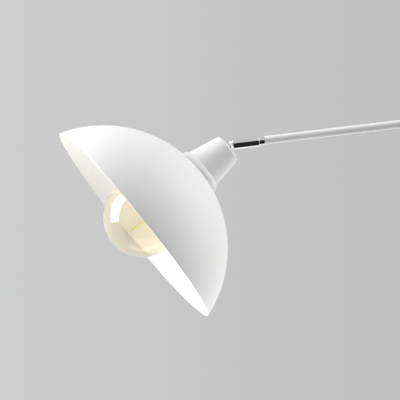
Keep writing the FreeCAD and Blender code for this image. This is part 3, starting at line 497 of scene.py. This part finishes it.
def dress_cad_nodes():
    """Give every CAD node the finish of its slot in the record."""
    for part in frame["record"]["subparts"]:
        node = frame["nodes"][part["node"]]
        node.data.materials.clear()
        node.data.materials.append(FINISHES[part["material_slot"]])


def piece_on(body, slot, piece, node):
    """Ride a piece on its body in place of a CAD node, with the finish of its slot."""
    piece.data.materials.append(FINISHES[slot])
    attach(piece, body)
    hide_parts(node)


# ---------------------------------------------------------------------------------------------------------
# Base and upright
# ---------------------------------------------------------------------------------------------------------

def base_cover():
    """Spun steel cover with a wide rounded edge, open below."""
    inside = BASE_RADIUS - BASE_SHEET
    under = BASE_HEIGHT - BASE_SHEET
    post_hole = 8.5
    edge_round = 5
    outline = rounded([
        (inside, PAD_HEIGHT), (BASE_RADIUS, PAD_HEIGHT, 0.5), (BASE_RADIUS, BASE_HEIGHT, edge_round),
        (post_hole, BASE_HEIGHT), (post_hole, under), (inside, under, edge_round - BASE_SHEET),
    ], steps=10)
    piece_on("base", "white_paint", lathe("base_cover_shell", rows(outline, 12), LAMP, 256), "base_cover")


def floor_pad():
    """The pad under the base, with rings of shallow grip grooves in its underside."""
    pitch, half_width, depth = 6, 0.8, 0.7
    first_ring, last_ring = 3, 24
    chamfer = 0.6
    outline = [(0, PAD_HEIGHT), (0, 0)]
    for ring in range(first_ring, last_ring + 1):
        middle = ring * pitch
        outline += [(middle - half_width, 0), (middle - half_width / 2, depth),
                    (middle + half_width / 2, depth), (middle + half_width, 0)]
    outline += [(PAD_RADIUS - chamfer, 0), (PAD_RADIUS, chamfer), (PAD_RADIUS, PAD_HEIGHT)]
    piece_on("base", "pad_rubber", lathe("grooved_floor_pad", outline, LAMP, 192), "floor_pad")


def lead_inlet():
    """Bushing that snaps into the cover's skirt: a barb inside, a groove for the sheet, a collar outside."""
    barb, groove, collar, nose = (INLET_BORE + wall for wall in (3.4, 2.4, 4, 1.6))
    inner_end, sheet_inside, collar_end, nose_end = 157.3, 158.3, 161.5, 166
    chamfer = 0.6
    outline = rounded([
        (INLET_BORE, inner_end, 0.3), (barb - chamfer, inner_end), (barb, inner_end + chamfer),
        (barb, sheet_inside), (groove, sheet_inside), (groove, BASE_RADIUS), (collar, BASE_RADIUS, 0.3),
        (collar, collar_end, 0.4), (nose, nose_end, 0.4), (INLET_BORE, nose_end, 0.4),
    ])
    piece_on("base", "white_plastic", lathe("inlet_bushing", outline, INLET, 64), "lead_inlet")


def trim_ring():
    """Turned ring round the post's foot, with a stepped and rounded shoulder."""
    bore, foot, shoulder, neck = POST_RADIUS + SLIP, 27, 22, 19
    rim_top, ring_top = BASE_HEIGHT + 3, BASE_HEIGHT + 11
    outline = rounded([
        (bore, BASE_HEIGHT), (foot, BASE_HEIGHT), (foot, rim_top, 0.6), (shoulder, ring_top - 1.5, 5),
        (neck, ring_top, 0.8), (bore, ring_top, 0.3),
    ])
    piece_on("base", "white_paint", lathe("post_trim_collar", outline, LAMP), "post_trim_ring")


def tube_outline(outer, bore, low, high, edge=0.4):
    """A plain tube whose edges are broken, but for the inner edge at its low end."""
    return rows(rounded([
        (bore, low), (outer, low, edge), (outer, high, edge), (bore, high, edge),
    ], steps=3), 40)


def upright_tubes():
    """The post that stands on the base and the riser that slides in it."""
    post = lathe("outer_post", tube_outline(POST_RADIUS, POST_BORE, BASE_HEIGHT, POST_TOP), LAMP, 96)
    piece_on("base", "white_paint", post, "post_tube")
    riser = lathe("inner_riser", tube_outline(RISER_RADIUS, RISER_BORE, RISER_FOOT, RISER_TOP), LAMP, 96)
    piece_on("riser", "white_paint", riser, "riser_tube")


def guide_bush(moving_radius, tube_bore, tube_radius, tube_top, depth, flange, foot_edge):
    """A flanged bush pressed into a tube's top, in which another tube moves."""
    bore = moving_radius + SLIP
    body = tube_bore - PRESS
    foot = tube_top - depth
    return rounded([
        (bore, foot, 0.3), (body, foot, foot_edge), (body, tube_top), (tube_radius, tube_top),
        (tube_radius, tube_top + flange, 0.5), (bore, tube_top + flange, 0.3),
    ])


def upright_bushes():
    """The bush that guides the riser and the one that the bow turns in."""
    post_bush = guide_bush(RISER_RADIUS, POST_BORE, POST_RADIUS, POST_TOP,
                           depth=26, flange=1.5, foot_edge=0.4)
    piece_on("base", "white_plastic", lathe("post_guide_bush", post_bush, LAMP, 96), "post_bush")
    swivel_bush = guide_bush(BOW_RADIUS, RISER_BORE, RISER_RADIUS, RISER_TOP,
                             depth=28, flange=2, foot_edge=0.3)
    top_bush = lathe("swivel_guide_bush", swivel_bush, LAMP, 96)
    piece_on("riser", "white_plastic", top_bush, "swivel_bush_top")


def lead_coil():
    """The coiled length of lead in the upright, which stretches as the upright is raised."""
    foot, top = 450, 960
    turns, steps_per_turn = 46, 20
    winding = 5.8
    share = np.linspace(0, 1, turns * steps_per_turn)
    reach = winding * np.clip(np.minimum(share, 1 - share) * turns, 0, 1)
    angle = TAU * turns * share
    height = foot + LEAD_RADIUS + (top - foot - 2 * LEAD_RADIUS) * share
    path = np.stack([reach * np.cos(angle), reach * np.sin(angle), height], axis=1)
    coil = sweep("coiled_inner_lead", path, LAMP, LEAD_RADIUS, around=10)
    coil.data.materials.append(FINISHES["lead_sheath"])
    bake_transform(coil)
    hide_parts("lead_coil")


# ---------------------------------------------------------------------------------------------------------
# Height clamp and swivel
# ---------------------------------------------------------------------------------------------------------

def thread(pitch, depth, low, high, least_radius):
    """Relief of a screw thread between two heights, on points further out than a radius."""
    def rise(angles, radii, heights):
        fade = np.clip((heights - low) / pitch, 0, 1) * np.clip((high - heights) / pitch, 0, 1)
        wave = 0.5 - 0.5 * np.cos(angles - TAU * heights / pitch)
        return -depth * wave * fade * (radii > least_radius)
    return rise


def clamp_screw():
    """Clamping screw, threaded from the pad to the knob's foot."""
    core = 1.5
    start, finish = 15.05, KNOB_END - 4
    outline = rounded([
        (0, start), (CLAMP_SCREW_RADIUS, start, 0.6), (CLAMP_SCREW_RADIUS, finish), (0, finish),
    ])
    turns = thread(1.0, 0.5, start, KNOB_START, core)
    screw = lathe("clamp_screw_threaded", rows(outline, 0.2), CLAMP, 40, turns)
    piece_on("clamp_thumbscrew", "zinc_steel", screw, "clamp_screw")


def clamp_knob():
    """Knob with eight finger grooves that run out before its foot."""
    lobes = 8
    groove_radius, groove_place = 2.4, 14.2
    groove_foot, groove_run_out = KNOB_START + 4, 1.2
    bore, foot, waist, grip, dish = CLAMP_SCREW_RADIUS, 8, 9, 13, 4.4
    dish_floor, bore_end = KNOB_END - 0.5, KNOB_END - 3.9

    def grooves(angles, radii, heights):
        off = (angles * lobes / TAU + 0.5) % 1 - 0.5
        across = groove_place * np.sin(off * TAU / lobes)
        chord = np.sqrt(np.maximum(groove_radius ** 2 - across ** 2, 0))
        floor_line = groove_place * np.cos(off * TAU / lobes) - chord
        cut = np.minimum(floor_line - radii, 0) * (np.abs(across) < groove_radius)
        return cut * np.clip((heights - groove_foot) / groove_run_out, 0, 1) * (radii > groove_place / 2)

    outline = rounded([
        (bore, KNOB_START), (foot, KNOB_START, 0.5), (waist, groove_foot, 2), (grip, groove_foot + 2, 1.2),
        (grip, KNOB_END, 2.2), (dish + 0.6, KNOB_END, 0.5), (dish, dish_floor), (0, dish_floor),
        (0, bore_end), (bore, bore_end),
    ], steps=6)
    knob = lathe("clamp_hand_knob", rows(outline, 0.8), CLAMP, 256, grooves)
    piece_on("clamp_thumbscrew", "white_plastic", knob, "clamp_knob")


def swivel_ring():
    """Stop ring on the bow that rests on the swivel's bush."""
    outline = rounded([
        (RING_BORE, RING_LOW), (RING_RADIUS, RING_LOW, 0.5), (RING_RADIUS, RING_HIGH, 2),
        (RING_BORE, RING_HIGH, 0.4),
    ])
    ring = lathe("bow_stop_ring", outline, LAMP, 96)
    piece_on("bow", "white_paint", ring, "bow_ring")


def hexagon(across_flats, least_height, radii_between):
    """Relief that draws a socket's wall, above a height and between two radii, to the sides of a hexagon."""
    inner, outer = radii_between

    def rise(angles, radii, heights):
        side = across_flats / 2 / np.cos((angles + TAU / 12) % (TAU / 6) - TAU / 12)
        in_socket = (heights > least_height) & (radii > inner) & (radii < outer)
        return np.where(in_socket, side - radii, 0)
    return rise


def ring_screw():
    """Socket set screw in the stop ring, with its hexagonal socket."""
    start, finish = RING_BORE, RING_RADIUS + 0.1
    screw_radius, socket_radius = 1.5, 0.8
    chamfer = 0.3
    socket_floor, drill_point = finish - 1.8, finish - 2.1
    outline = [
        (0, start), (screw_radius - chamfer, start), (screw_radius, start + chamfer),
        (screw_radius, finish - 0.2), (screw_radius - 0.2, finish), (socket_radius, finish),
        (socket_radius, socket_floor), (0, drill_point),
    ]
    socket = hexagon(1.5, socket_floor - 0.1, (0.1, 0.9))
    piece_on("bow", "zinc_steel", lathe("ring_set_screw", outline, RING_SCREW, 48, socket), "bow_ring_screw")


# ---------------------------------------------------------------------------------------------------------
# Bow and arm
# ---------------------------------------------------------------------------------------------------------

def bow_line(foot, run):
    """Points on the bow's centre line, from a height on the upright to a distance past the bend."""
    upright = [(0, 0, height) for height in np.linspace(foot, ARC_START, 8, endpoint=False)]
    turn = np.linspace(0, math.pi / 2 + ARM_SLOPE, 120)
    bend = [(ARC_RADIUS * (math.cos(a) - 1), 0, ARC_START + ARC_RADIUS * math.sin(a)) for a in turn]
    end = np.array(bend[-1])
    way = np.array([-math.cos(ARM_SLOPE), 0, -math.sin(ARM_SLOPE)])
    straight = [tuple(end + way * step) for step in np.linspace(0, run, 8)[1:]]
    return upright + bend + straight


def bow_and_arm():
    """The bent tube, the thin arm that goes into it, and the sleeve that joins them."""
    bow = sweep("bow_bent_tube", bow_line(BOW_FOOT, BOW_RUN), LAMP, BOW_RADIUS, BOW_BORE, around=64)
    piece_on("bow", "white_paint", bow, "bow_tube")
    arm_end, sleeve_end, nose_end = BOW_END + 40, BOW_END + 32, BOW_END - 14
    arm = lathe("arm_thin_tube", tube_outline(ARM_RADIUS, ARM_BORE, FERRULE_END, arm_end, 0.25), ARM, 96)
    piece_on("bow", "white_paint", arm, "arm_tube")
    bore, body, nose = ARM_RADIUS + 0.03, BOW_BORE - PRESS, ARM_RADIUS + 0.9
    sleeve = rounded([
        (bore, sleeve_end), (body, sleeve_end, 0.3), (body, BOW_END), (BOW_RADIUS, BOW_END),
        (BOW_RADIUS, BOW_END - 2, 0.8), (nose, nose_end, 0.3), (bore, nose_end),
    ])
    piece_on("bow", "white_paint", lathe("arm_reducing_sleeve", sleeve, ARM, 96), "arm_reducer")


# ---------------------------------------------------------------------------------------------------------
# Ball joint
# ---------------------------------------------------------------------------------------------------------

def joint_barrel():
    """Barrel with a round seat for the ball at its mouth and a journal for the ferrule at its far end."""
    seat = BALL_RADIUS + SLIP
    mouth = math.sqrt(seat ** 2 - BALL_INSET ** 2)
    journal, journal_length = 4.55, 2.5
    socket = arc((0, 0), seat, 0, -math.degrees(math.asin(BALL_INSET / seat)), 6)
    shell = rounded([
        (mouth, -BALL_INSET), (BARREL_RADIUS, -BALL_INSET, 0.45), (BARREL_RADIUS, BARREL_END, 0.5),
        (journal, BARREL_END), (journal, BARREL_END - journal_length), (seat, BARREL_END - journal_length),
    ])
    barrel = lathe("joint_barrel_shell", rows(socket + shell[1:], 3), ARM, 128)
    piece_on("barrel", "chrome", barrel, "joint_barrel")


def ferrule():
    """Ring at the arm's end, with a head that turns inside the barrel and a spigot inside the arm."""
    bore, journal, head, ring, spigot = 2.5, 4.5, 5.6, 5.2, 3.98
    head_start, head_end, ring_start = BARREL_END - 5, BARREL_END - 2.6, BARREL_END + 0.2
    spigot_end = FERRULE_END + 15
    outline = rounded([
        (bore, head_start, 0.2), (head, head_start, 0.2), (head, head_end), (journal, head_end),
        (journal, ring_start), (ring, ring_start, 0.3), (ring, FERRULE_END, 0.12), (spigot, FERRULE_END),
        (spigot, spigot_end), (bore, spigot_end, 0.3),
    ])
    piece_on("bow", "chrome", lathe("arm_ferrule_ring", rows(outline, 2), ARM, 128), "arm_ferrule")


def ball_stud():
    """Ball, neck, flange and threaded stem in one piece."""
    bore, neck, stem, flange = 2.3, 3.0, 4.95, 5.8
    foot, flange_low, flange_high = 124, COLLAR_END + SLIP, COLLAR_END + 1.1
    ball_low = math.degrees(math.asin(neck / BALL_RADIUS)) - 90
    ball_high = math.degrees(math.acos((neck + 0.4) / BALL_RADIUS))
    outline = [
        *rounded([(bore, foot, 0.2), (stem, foot, 0.5), (stem, flange_low), (flange, flange_low),
                  (flange, flange_high, 0.2), (neck, flange_high, 0.3)]),
        *arc((0, BALL_HEIGHT), BALL_RADIUS, ball_low, ball_high, 40),
        (bore, BALL_HEIGHT + 1),
    ]
    stem_thread = thread(1.0, 0.45, foot, COLLAR_END - 1.4, 4)
    stud = lathe("ball_and_stud", rows(outline, 0.25), HEAD, 96, stem_thread)
    piece_on("ball", "chrome", stud, "ball_stud")


# ---------------------------------------------------------------------------------------------------------
# Shade and collar
# ---------------------------------------------------------------------------------------------------------

def shade():
    """Spun dome with a rounded rim, white paint outside. Inside, a lighter and warmer copy of the paint is painted
    light, standing in for light through the tinted bulb.
    """
    inside = DOME_RADIUS - SHADE_WALL
    middle = DOME_RADIUS - SHADE_WALL / 2
    rim_angle = math.acos(SHADE_RADIUS / DOME_RADIUS)
    rim = (middle * math.cos(rim_angle), DOME_CENTRE + middle * math.sin(rim_angle))
    rim_turn = math.degrees(rim_angle)
    outline = [
        *arc(rim, SHADE_WALL / 2, rim_turn - 180, rim_turn, 8)[:-1],
        *dome(DOME_RADIUS, DOME_CENTRE, (SHADE_RADIUS, SHADE_HOLE), 72),
        *dome(inside, DOME_CENTRE, (SHADE_HOLE, rim[0]), 72)[:-1],
    ]
    shell = lathe("shade_dome", outline, HEAD, 320)
    piece_on("head", "white_paint", shell, "shade")
    shell.data.materials.append(SHADE_INSIDE)
    # Faces inside the wall take the lighter, warmer copy of the paint: painted light.
    centre = Vector((0, 0, DOME_CENTRE * MM))
    painted_light_reach = (middle - 0.1) * MM
    for face in shell.data.polygons:
        if (face.center - centre).length < painted_light_reach:
            face.material_index = 1


def collar_outline():
    """Rounded foot on the dome, crease, tapered side, rounded end and the inside of the sheet."""
    on_dome = DOME_CENTRE + math.sqrt(DOME_RADIUS ** 2 - COLLAR_FOOT ** 2)
    foot_round = curve((COLLAR_FOOT, on_dome + 1), COLLAR_WAIST, COLLAR_FOOT_ROUND, -1)
    end_round = 3.2
    end_start = COLLAR_NECK[0] - end_round
    inner_end = COLLAR_END - COLLAR_WALL
    outer = [
        (COLLAR_FOOT, on_dome + 0.05), *foot_round,
        *arc((end_start, COLLAR_END - end_round), end_round, 10, 88, 8), (STUD_HOLE, COLLAR_END),
    ]
    inner = [
        (STUD_HOLE, inner_end), (end_start, inner_end),
        (COLLAR_NECK[0] - COLLAR_WALL, inner_end - end_round),
        *((radius - COLLAR_WALL, height - 0.6) for radius, height in reversed(foot_round)),
        (COLLAR_FOOT - COLLAR_WALL, on_dome + 0.3),
    ]
    return outer + inner


def bell_collar():
    """Spun collar between the shade's crown and the ball's stud."""
    collar = lathe("bell_collar_shell", rows(collar_outline(), 4), HEAD, 192)
    piece_on("head", "white_paint", collar, "bell_collar")


# ---------------------------------------------------------------------------------------------------------
# Lampholder and bulb
# ---------------------------------------------------------------------------------------------------------

CROWN = DOME_CENTRE + math.sqrt(DOME_RADIUS ** 2 - SHADE_HOLE ** 2)


def lampholder():
    """Skirt that the shade hangs on, and the cap over it."""
    foot, split = 76, 112
    shell, skirt, shoulder, bore = 14.7, 19.4, 22.4, 4
    upper = 19
    body = rounded([
        (shell, foot, 0.4), (skirt, foot, 0.4), (skirt, CROWN), (shoulder, CROWN, 0.3),
        (shoulder, CROWN + 2, 0.3), (upper, CROWN + 2), (upper, split), (bore, split), (bore, split - 2),
        (shell, split - 2),
    ])
    skirt_thread = thread(2.5, 0.5, foot + 3, CROWN - 2, 17)
    skirt_piece = lathe("holder_skirt", rows(body, 0.6), HEAD, 96, skirt_thread)
    piece_on("head", "holder_plastic", skirt_piece, "holder_body")
    cap = rounded([
        (17.2, split), (upper, split), (upper, split + 8, 2), (12, split + 18, 2), (7.5, split + 18),
        (7.5, split + 21, 0.4), (5, split + 21), (5, split + 16), (11, split + 16), (17.2, split + 7),
    ])
    piece_on("head", "holder_plastic", lathe("holder_dome", cap, HEAD, 96), "holder_cap")


def shade_ring():
    """Ring that clamps the shade to the lampholder, with ribs to grip."""
    ribs, rib_depth = 36, 0.35
    bore, foot, grip_radius = 19.45, 22.9, 24.8
    low, high = CROWN - 8.3, CROWN - 1.75

    def grip(angles, radii, heights):
        return -rib_depth * (0.5 + 0.5 * np.cos(angles * ribs)) ** 2 * (radii > 22)

    outline = rounded([
        (bore, low), (foot, low, 0.4), (grip_radius, low + 2, 0.4), (grip_radius, high, 0.3), (bore, high),
    ])
    ring = lathe("shade_clamp_ring", rows(outline, 1), HEAD, 288, grip)
    piece_on("head", "holder_plastic", ring, "shade_ring")


def thread_shell():
    """Brass shell round the bulb's cap, with plain walls."""
    inner, outer = 13.4, 14.65
    low, high = 84, 102
    outline = rows([(inner, low), (outer, low), (outer, high), (inner, high)], 0.5)
    piece_on("head", "brass", lathe("holder_thread_shell", outline, HEAD, 96), "thread_shell")


def bulb_glass():
    """Globe blown from one gather: sphere, hollow shoulder and neck."""
    leave = 18.5
    shoulder_radius = 24
    neck, neck_low, neck_high = 14.2, 70, 80

    def profile(inset):
        radius, out = GLOBE_RADIUS - inset, leave - inset
        top = GLOBE_CENTRE + math.sqrt(radius ** 2 - out ** 2)
        ball = arc((0, GLOBE_CENTRE), radius, -90, math.degrees(math.acos(out / radius)), 72)
        shoulder = curve((out, top), (neck - inset, neck_low), shoulder_radius + inset, 1)
        return [*ball[:-1], *shoulder, (neck - 1 - inset, neck_high)]

    outline = [*profile(0), *profile(GLASS_WALL)[::-1]]
    piece_on("head", "tinted_glass", lathe("globe_bulb_glass", outline, HEAD, 224), "bulb_glass")


def bulb_cap():
    """Screw cap with a rolled thread, drawn over the neck."""
    cap, sheet = CAP_RADIUS, 0.5
    collar = cap + 1.3
    thread_start, thread_end = 83.5, 100.5
    outline = rounded([
        (cap + 0.75, 76), (collar, 76, 0.15), (collar, 81.5, 0.5), (cap, thread_start, 0.5), (cap, 100, 0.8),
        (cap - 2, 101.5), (cap - 2.5, 101.5), (cap - sheet, 99.8), (cap - sheet, 83), (cap + 0.75, 81),
    ])
    cap_thread = thread(CAP_PITCH, 0.45, thread_start, thread_end, 12)
    cap_piece = lathe("bulb_screw_cap", rows(outline, 0.4), HEAD, 96, cap_thread)
    piece_on("head", "bulb_cap_metal", cap_piece, "bulb_cap")


def bulb_stem():
    """Glass stem with its pinched, rounded top and its flare that joins the neck."""
    top, flare = 44, 79
    outline = [
        (0, top), *arc((2, top + 2), 2, -90, 0, 6), *curve((4.2, 60), (12.1, flare), 40, 1), (0, flare),
    ]
    piece_on("head", "clear_glass", lathe("bulb_glass_stem", outline, HEAD, 48), "bulb_stem")


def filament():
    """Hairpin strand in a plane beside the axis: two legs from the supports, joined by a half turn."""
    strand = 0.85
    offset, half_width = 3.8, 12
    bend, top = 5.5, 48
    leg = [(offset, half_width, height) for height in np.linspace(top, bend, 24, endpoint=False)]
    half_turn = [(offset, half_width * math.cos(a), bend - half_width * math.sin(a))
                 for a in np.linspace(0, math.pi, 40)]
    other_leg = [(x, -y, z) for x, y, z in leg[::-1]]
    hairpin = sweep("hairpin_filament", leg + half_turn + other_leg, HEAD, strand, around=16)
    piece_on("head", "filament", hairpin, "bulb_filament")


# ---------------------------------------------------------------------------------------------------------
# Studio and camera
# ---------------------------------------------------------------------------------------------------------

CAMERA_DISTANCE = 2.2
CAMERA_TURN = math.radians(9.27)
VIEW_WIDTH = 0.4718
AIM_RIGHT = 0.0782
AIM_UP = 0.0294

# The room's brightness as a camera would see it, and the dark flag's place and spread in degrees.
WALLS = 0.6
PALE_FLOOR = 1.0
FLAG_ELEVATION = -42
FLAG_SPREAD = 57
FLAG_EDGE = 4
FLAG_GLOW = 0.02
# The backdrop the camera sees is painted lighter on the left, towards the window: painted light.
BACKDROP_LEFT = (0.645, 0.65, 0.65)
BACKDROP_RIGHT = (0.53, 0.53, 0.53)


def camera():
    """A level camera at the head's height, turned a little towards the upright."""
    ahead = Vector((math.sin(CAMERA_TURN), math.cos(CAMERA_TURN), 0))
    right = Vector((math.cos(CAMERA_TURN), -math.sin(CAMERA_TURN), 0))
    aim = RIM_CENTRE + right * AIM_RIGHT + Vector((0, 0, AIM_UP))
    data = bpy.data.cameras.new("camera")
    data.sensor_width = 36
    data.lens = data.sensor_width * CAMERA_DISTANCE / VIEW_WIDTH
    data.clip_start, data.clip_end = 0.05, 100
    made = bpy.data.objects.new("camera", data)
    bpy.context.scene.collection.objects.link(made)
    made.location = aim - ahead * CAMERA_DISTANCE
    made.rotation_mode = "QUATERNION"
    made.rotation_quaternion = ahead.to_track_quat("-Z", "Y")
    bpy.context.scene.camera = made


def softbox(name, way, distance, width, height, radiance, mirrored=True):
    """A rectangular light that faces the head from a direction. Radiance is what a camera would see."""
    data = bpy.data.lights.new(name, "AREA")
    data.shape = "RECTANGLE"
    data.size, data.size_y = width, height
    data.energy = radiance * math.pi * width * height
    made = bpy.data.objects.new(name, data)
    bpy.context.scene.collection.objects.link(made)
    toward = Vector(way).normalized()
    made.location = RIM_CENTRE + toward * distance
    made.rotation_mode = "QUATERNION"
    made.rotation_quaternion = (-toward).to_track_quat("-Z", "Y")
    made.visible_camera = False
    made.visible_glossy = mirrored


def studio_sky():
    """A grey backdrop, painted lighter on the left towards the window, and for the light a grey wall behind, a
    pale floor and a dark flag in front.
    """
    world = bpy.data.worlds.new("studio")
    bpy.context.scene.world = world
    world.use_nodes = True
    tree = world.node_tree
    tree.nodes.clear()
    way = add_node(tree, "TexCoord").outputs["Generated"]

    def facing(direction):
        """How far a ray points in a direction, from -1 to 1."""
        inputs = {0: way, 1: Vector(direction).normalized()}
        return add_node(tree, "VectorMath", inputs, operation="DOT_PRODUCT").outputs["Value"]

    def fade(value, start, finish, low, high):
        inputs = {"Value": value, "From Min": start, "From Max": finish, "To Min": low, "To Max": high}
        return add_node(tree, "MapRange", inputs, interpolation_type="SMOOTHSTEP").outputs["Result"]

    def glow(strength):
        """Neutral light of a given radiance."""
        inputs = {"Color": (1, 1, 1, 1), "Strength": strength}
        return add_node(tree, "Background", inputs).outputs["Background"]

    front_low = math.radians(FLAG_ELEVATION)
    from_flag = facing((0, -math.cos(front_low), math.sin(front_low)))
    inner, outer = (math.cos(math.radians(FLAG_SPREAD + edge)) for edge in (-FLAG_EDGE, FLAG_EDGE))
    room = glow(fade(facing((0, 0, -1)), -0.2, 0.2, WALLS, PALE_FLOOR))
    clear_of_flag = fade(from_flag, outer, inner, 1.0, 0.0)
    flag = glow(FLAG_GLOW)
    lit = add_node(tree, "MixShader", {0: clear_of_flag, 1: flag, 2: room}).outputs["Shader"]
    # Painted light: the backdrop gets lighter towards the left, where the window is.
    backdrop = blend_colours(tree, spread(tree, facing((1, 0, 0)), 0, 1, -0.03, 0.25),
                             (0, BACKDROP_LEFT), (1, BACKDROP_RIGHT))
    seen = add_node(tree, "Background", {"Color": backdrop}).outputs["Background"]
    path = add_node(tree, "LightPath")
    straight = {0: path.outputs["Is Camera Ray"], 1: path.outputs["Is Transmission Ray"]}
    direct = add_node(tree, "Math", straight, operation="MAXIMUM").outputs["Value"]
    whole = add_node(tree, "MixShader", {0: direct, 1: lit, 2: seen}).outputs["Shader"]
    add_node(tree, "OutputWorld", {"Surface": whole})


def studio_floor():
    """A round pale floor, wide but out of sight of the level camera."""
    radius = 10
    mesh = bpy.data.meshes.new("studio_floor")
    shape = bmesh.new()
    bmesh.ops.create_circle(shape, cap_ends=True, segments=128, radius=radius)
    shape.to_mesh(mesh)
    shape.free()
    mesh.materials.append(floor_plaster())
    made = bpy.data.objects.new("studio_floor", mesh)
    bpy.context.scene.collection.objects.link(made)
    # The sky's pale floor and the floor bounce light the lamp from below in its place.
    made.visible_glossy = False
    made.visible_diffuse = False


def studio():
    """Backdrop, floor and lights: a big window on the left, a fill on the right, and soft light all round."""
    studio_sky()
    studio_floor()
    softbox("window", (-0.95, 0.14, 0.30), 1.7, 1.1, 1.75, 8.2)
    softbox("side_window", (-0.52, -0.50, 0.69), 2.0, 0.7, 0.7, 2.3)
    softbox("high_fill", (0.92, 0.0, 0.38), 2.4, 1.9, 2.9, 2.0)
    softbox("overhead_fill", (0.2, -0.2, 0.96), 2.2, 1.2, 1.2, 0.7, mirrored=False)
    softbox("floor_bounce", (0.0, 0.0, -1.0), 1.4, 1.4, 1.4, 2.5, mirrored=False)
    bpy.context.scene.view_settings.view_transform = "Standard"


def main():
    """Finish the CAD nodes, then build the studio and each detailed piece."""
    dress_cad_nodes()
    camera()
    studio()
    for build in (
        base_cover, floor_pad, lead_inlet, trim_ring, upright_tubes, upright_bushes, lead_coil,
        clamp_screw, clamp_knob, swivel_ring, ring_screw, bow_and_arm,
        joint_barrel, ferrule, ball_stud, shade, bell_collar,
        lampholder, shade_ring, thread_shell, bulb_glass, bulb_cap, bulb_stem, filament,
    ):
        build()


main()
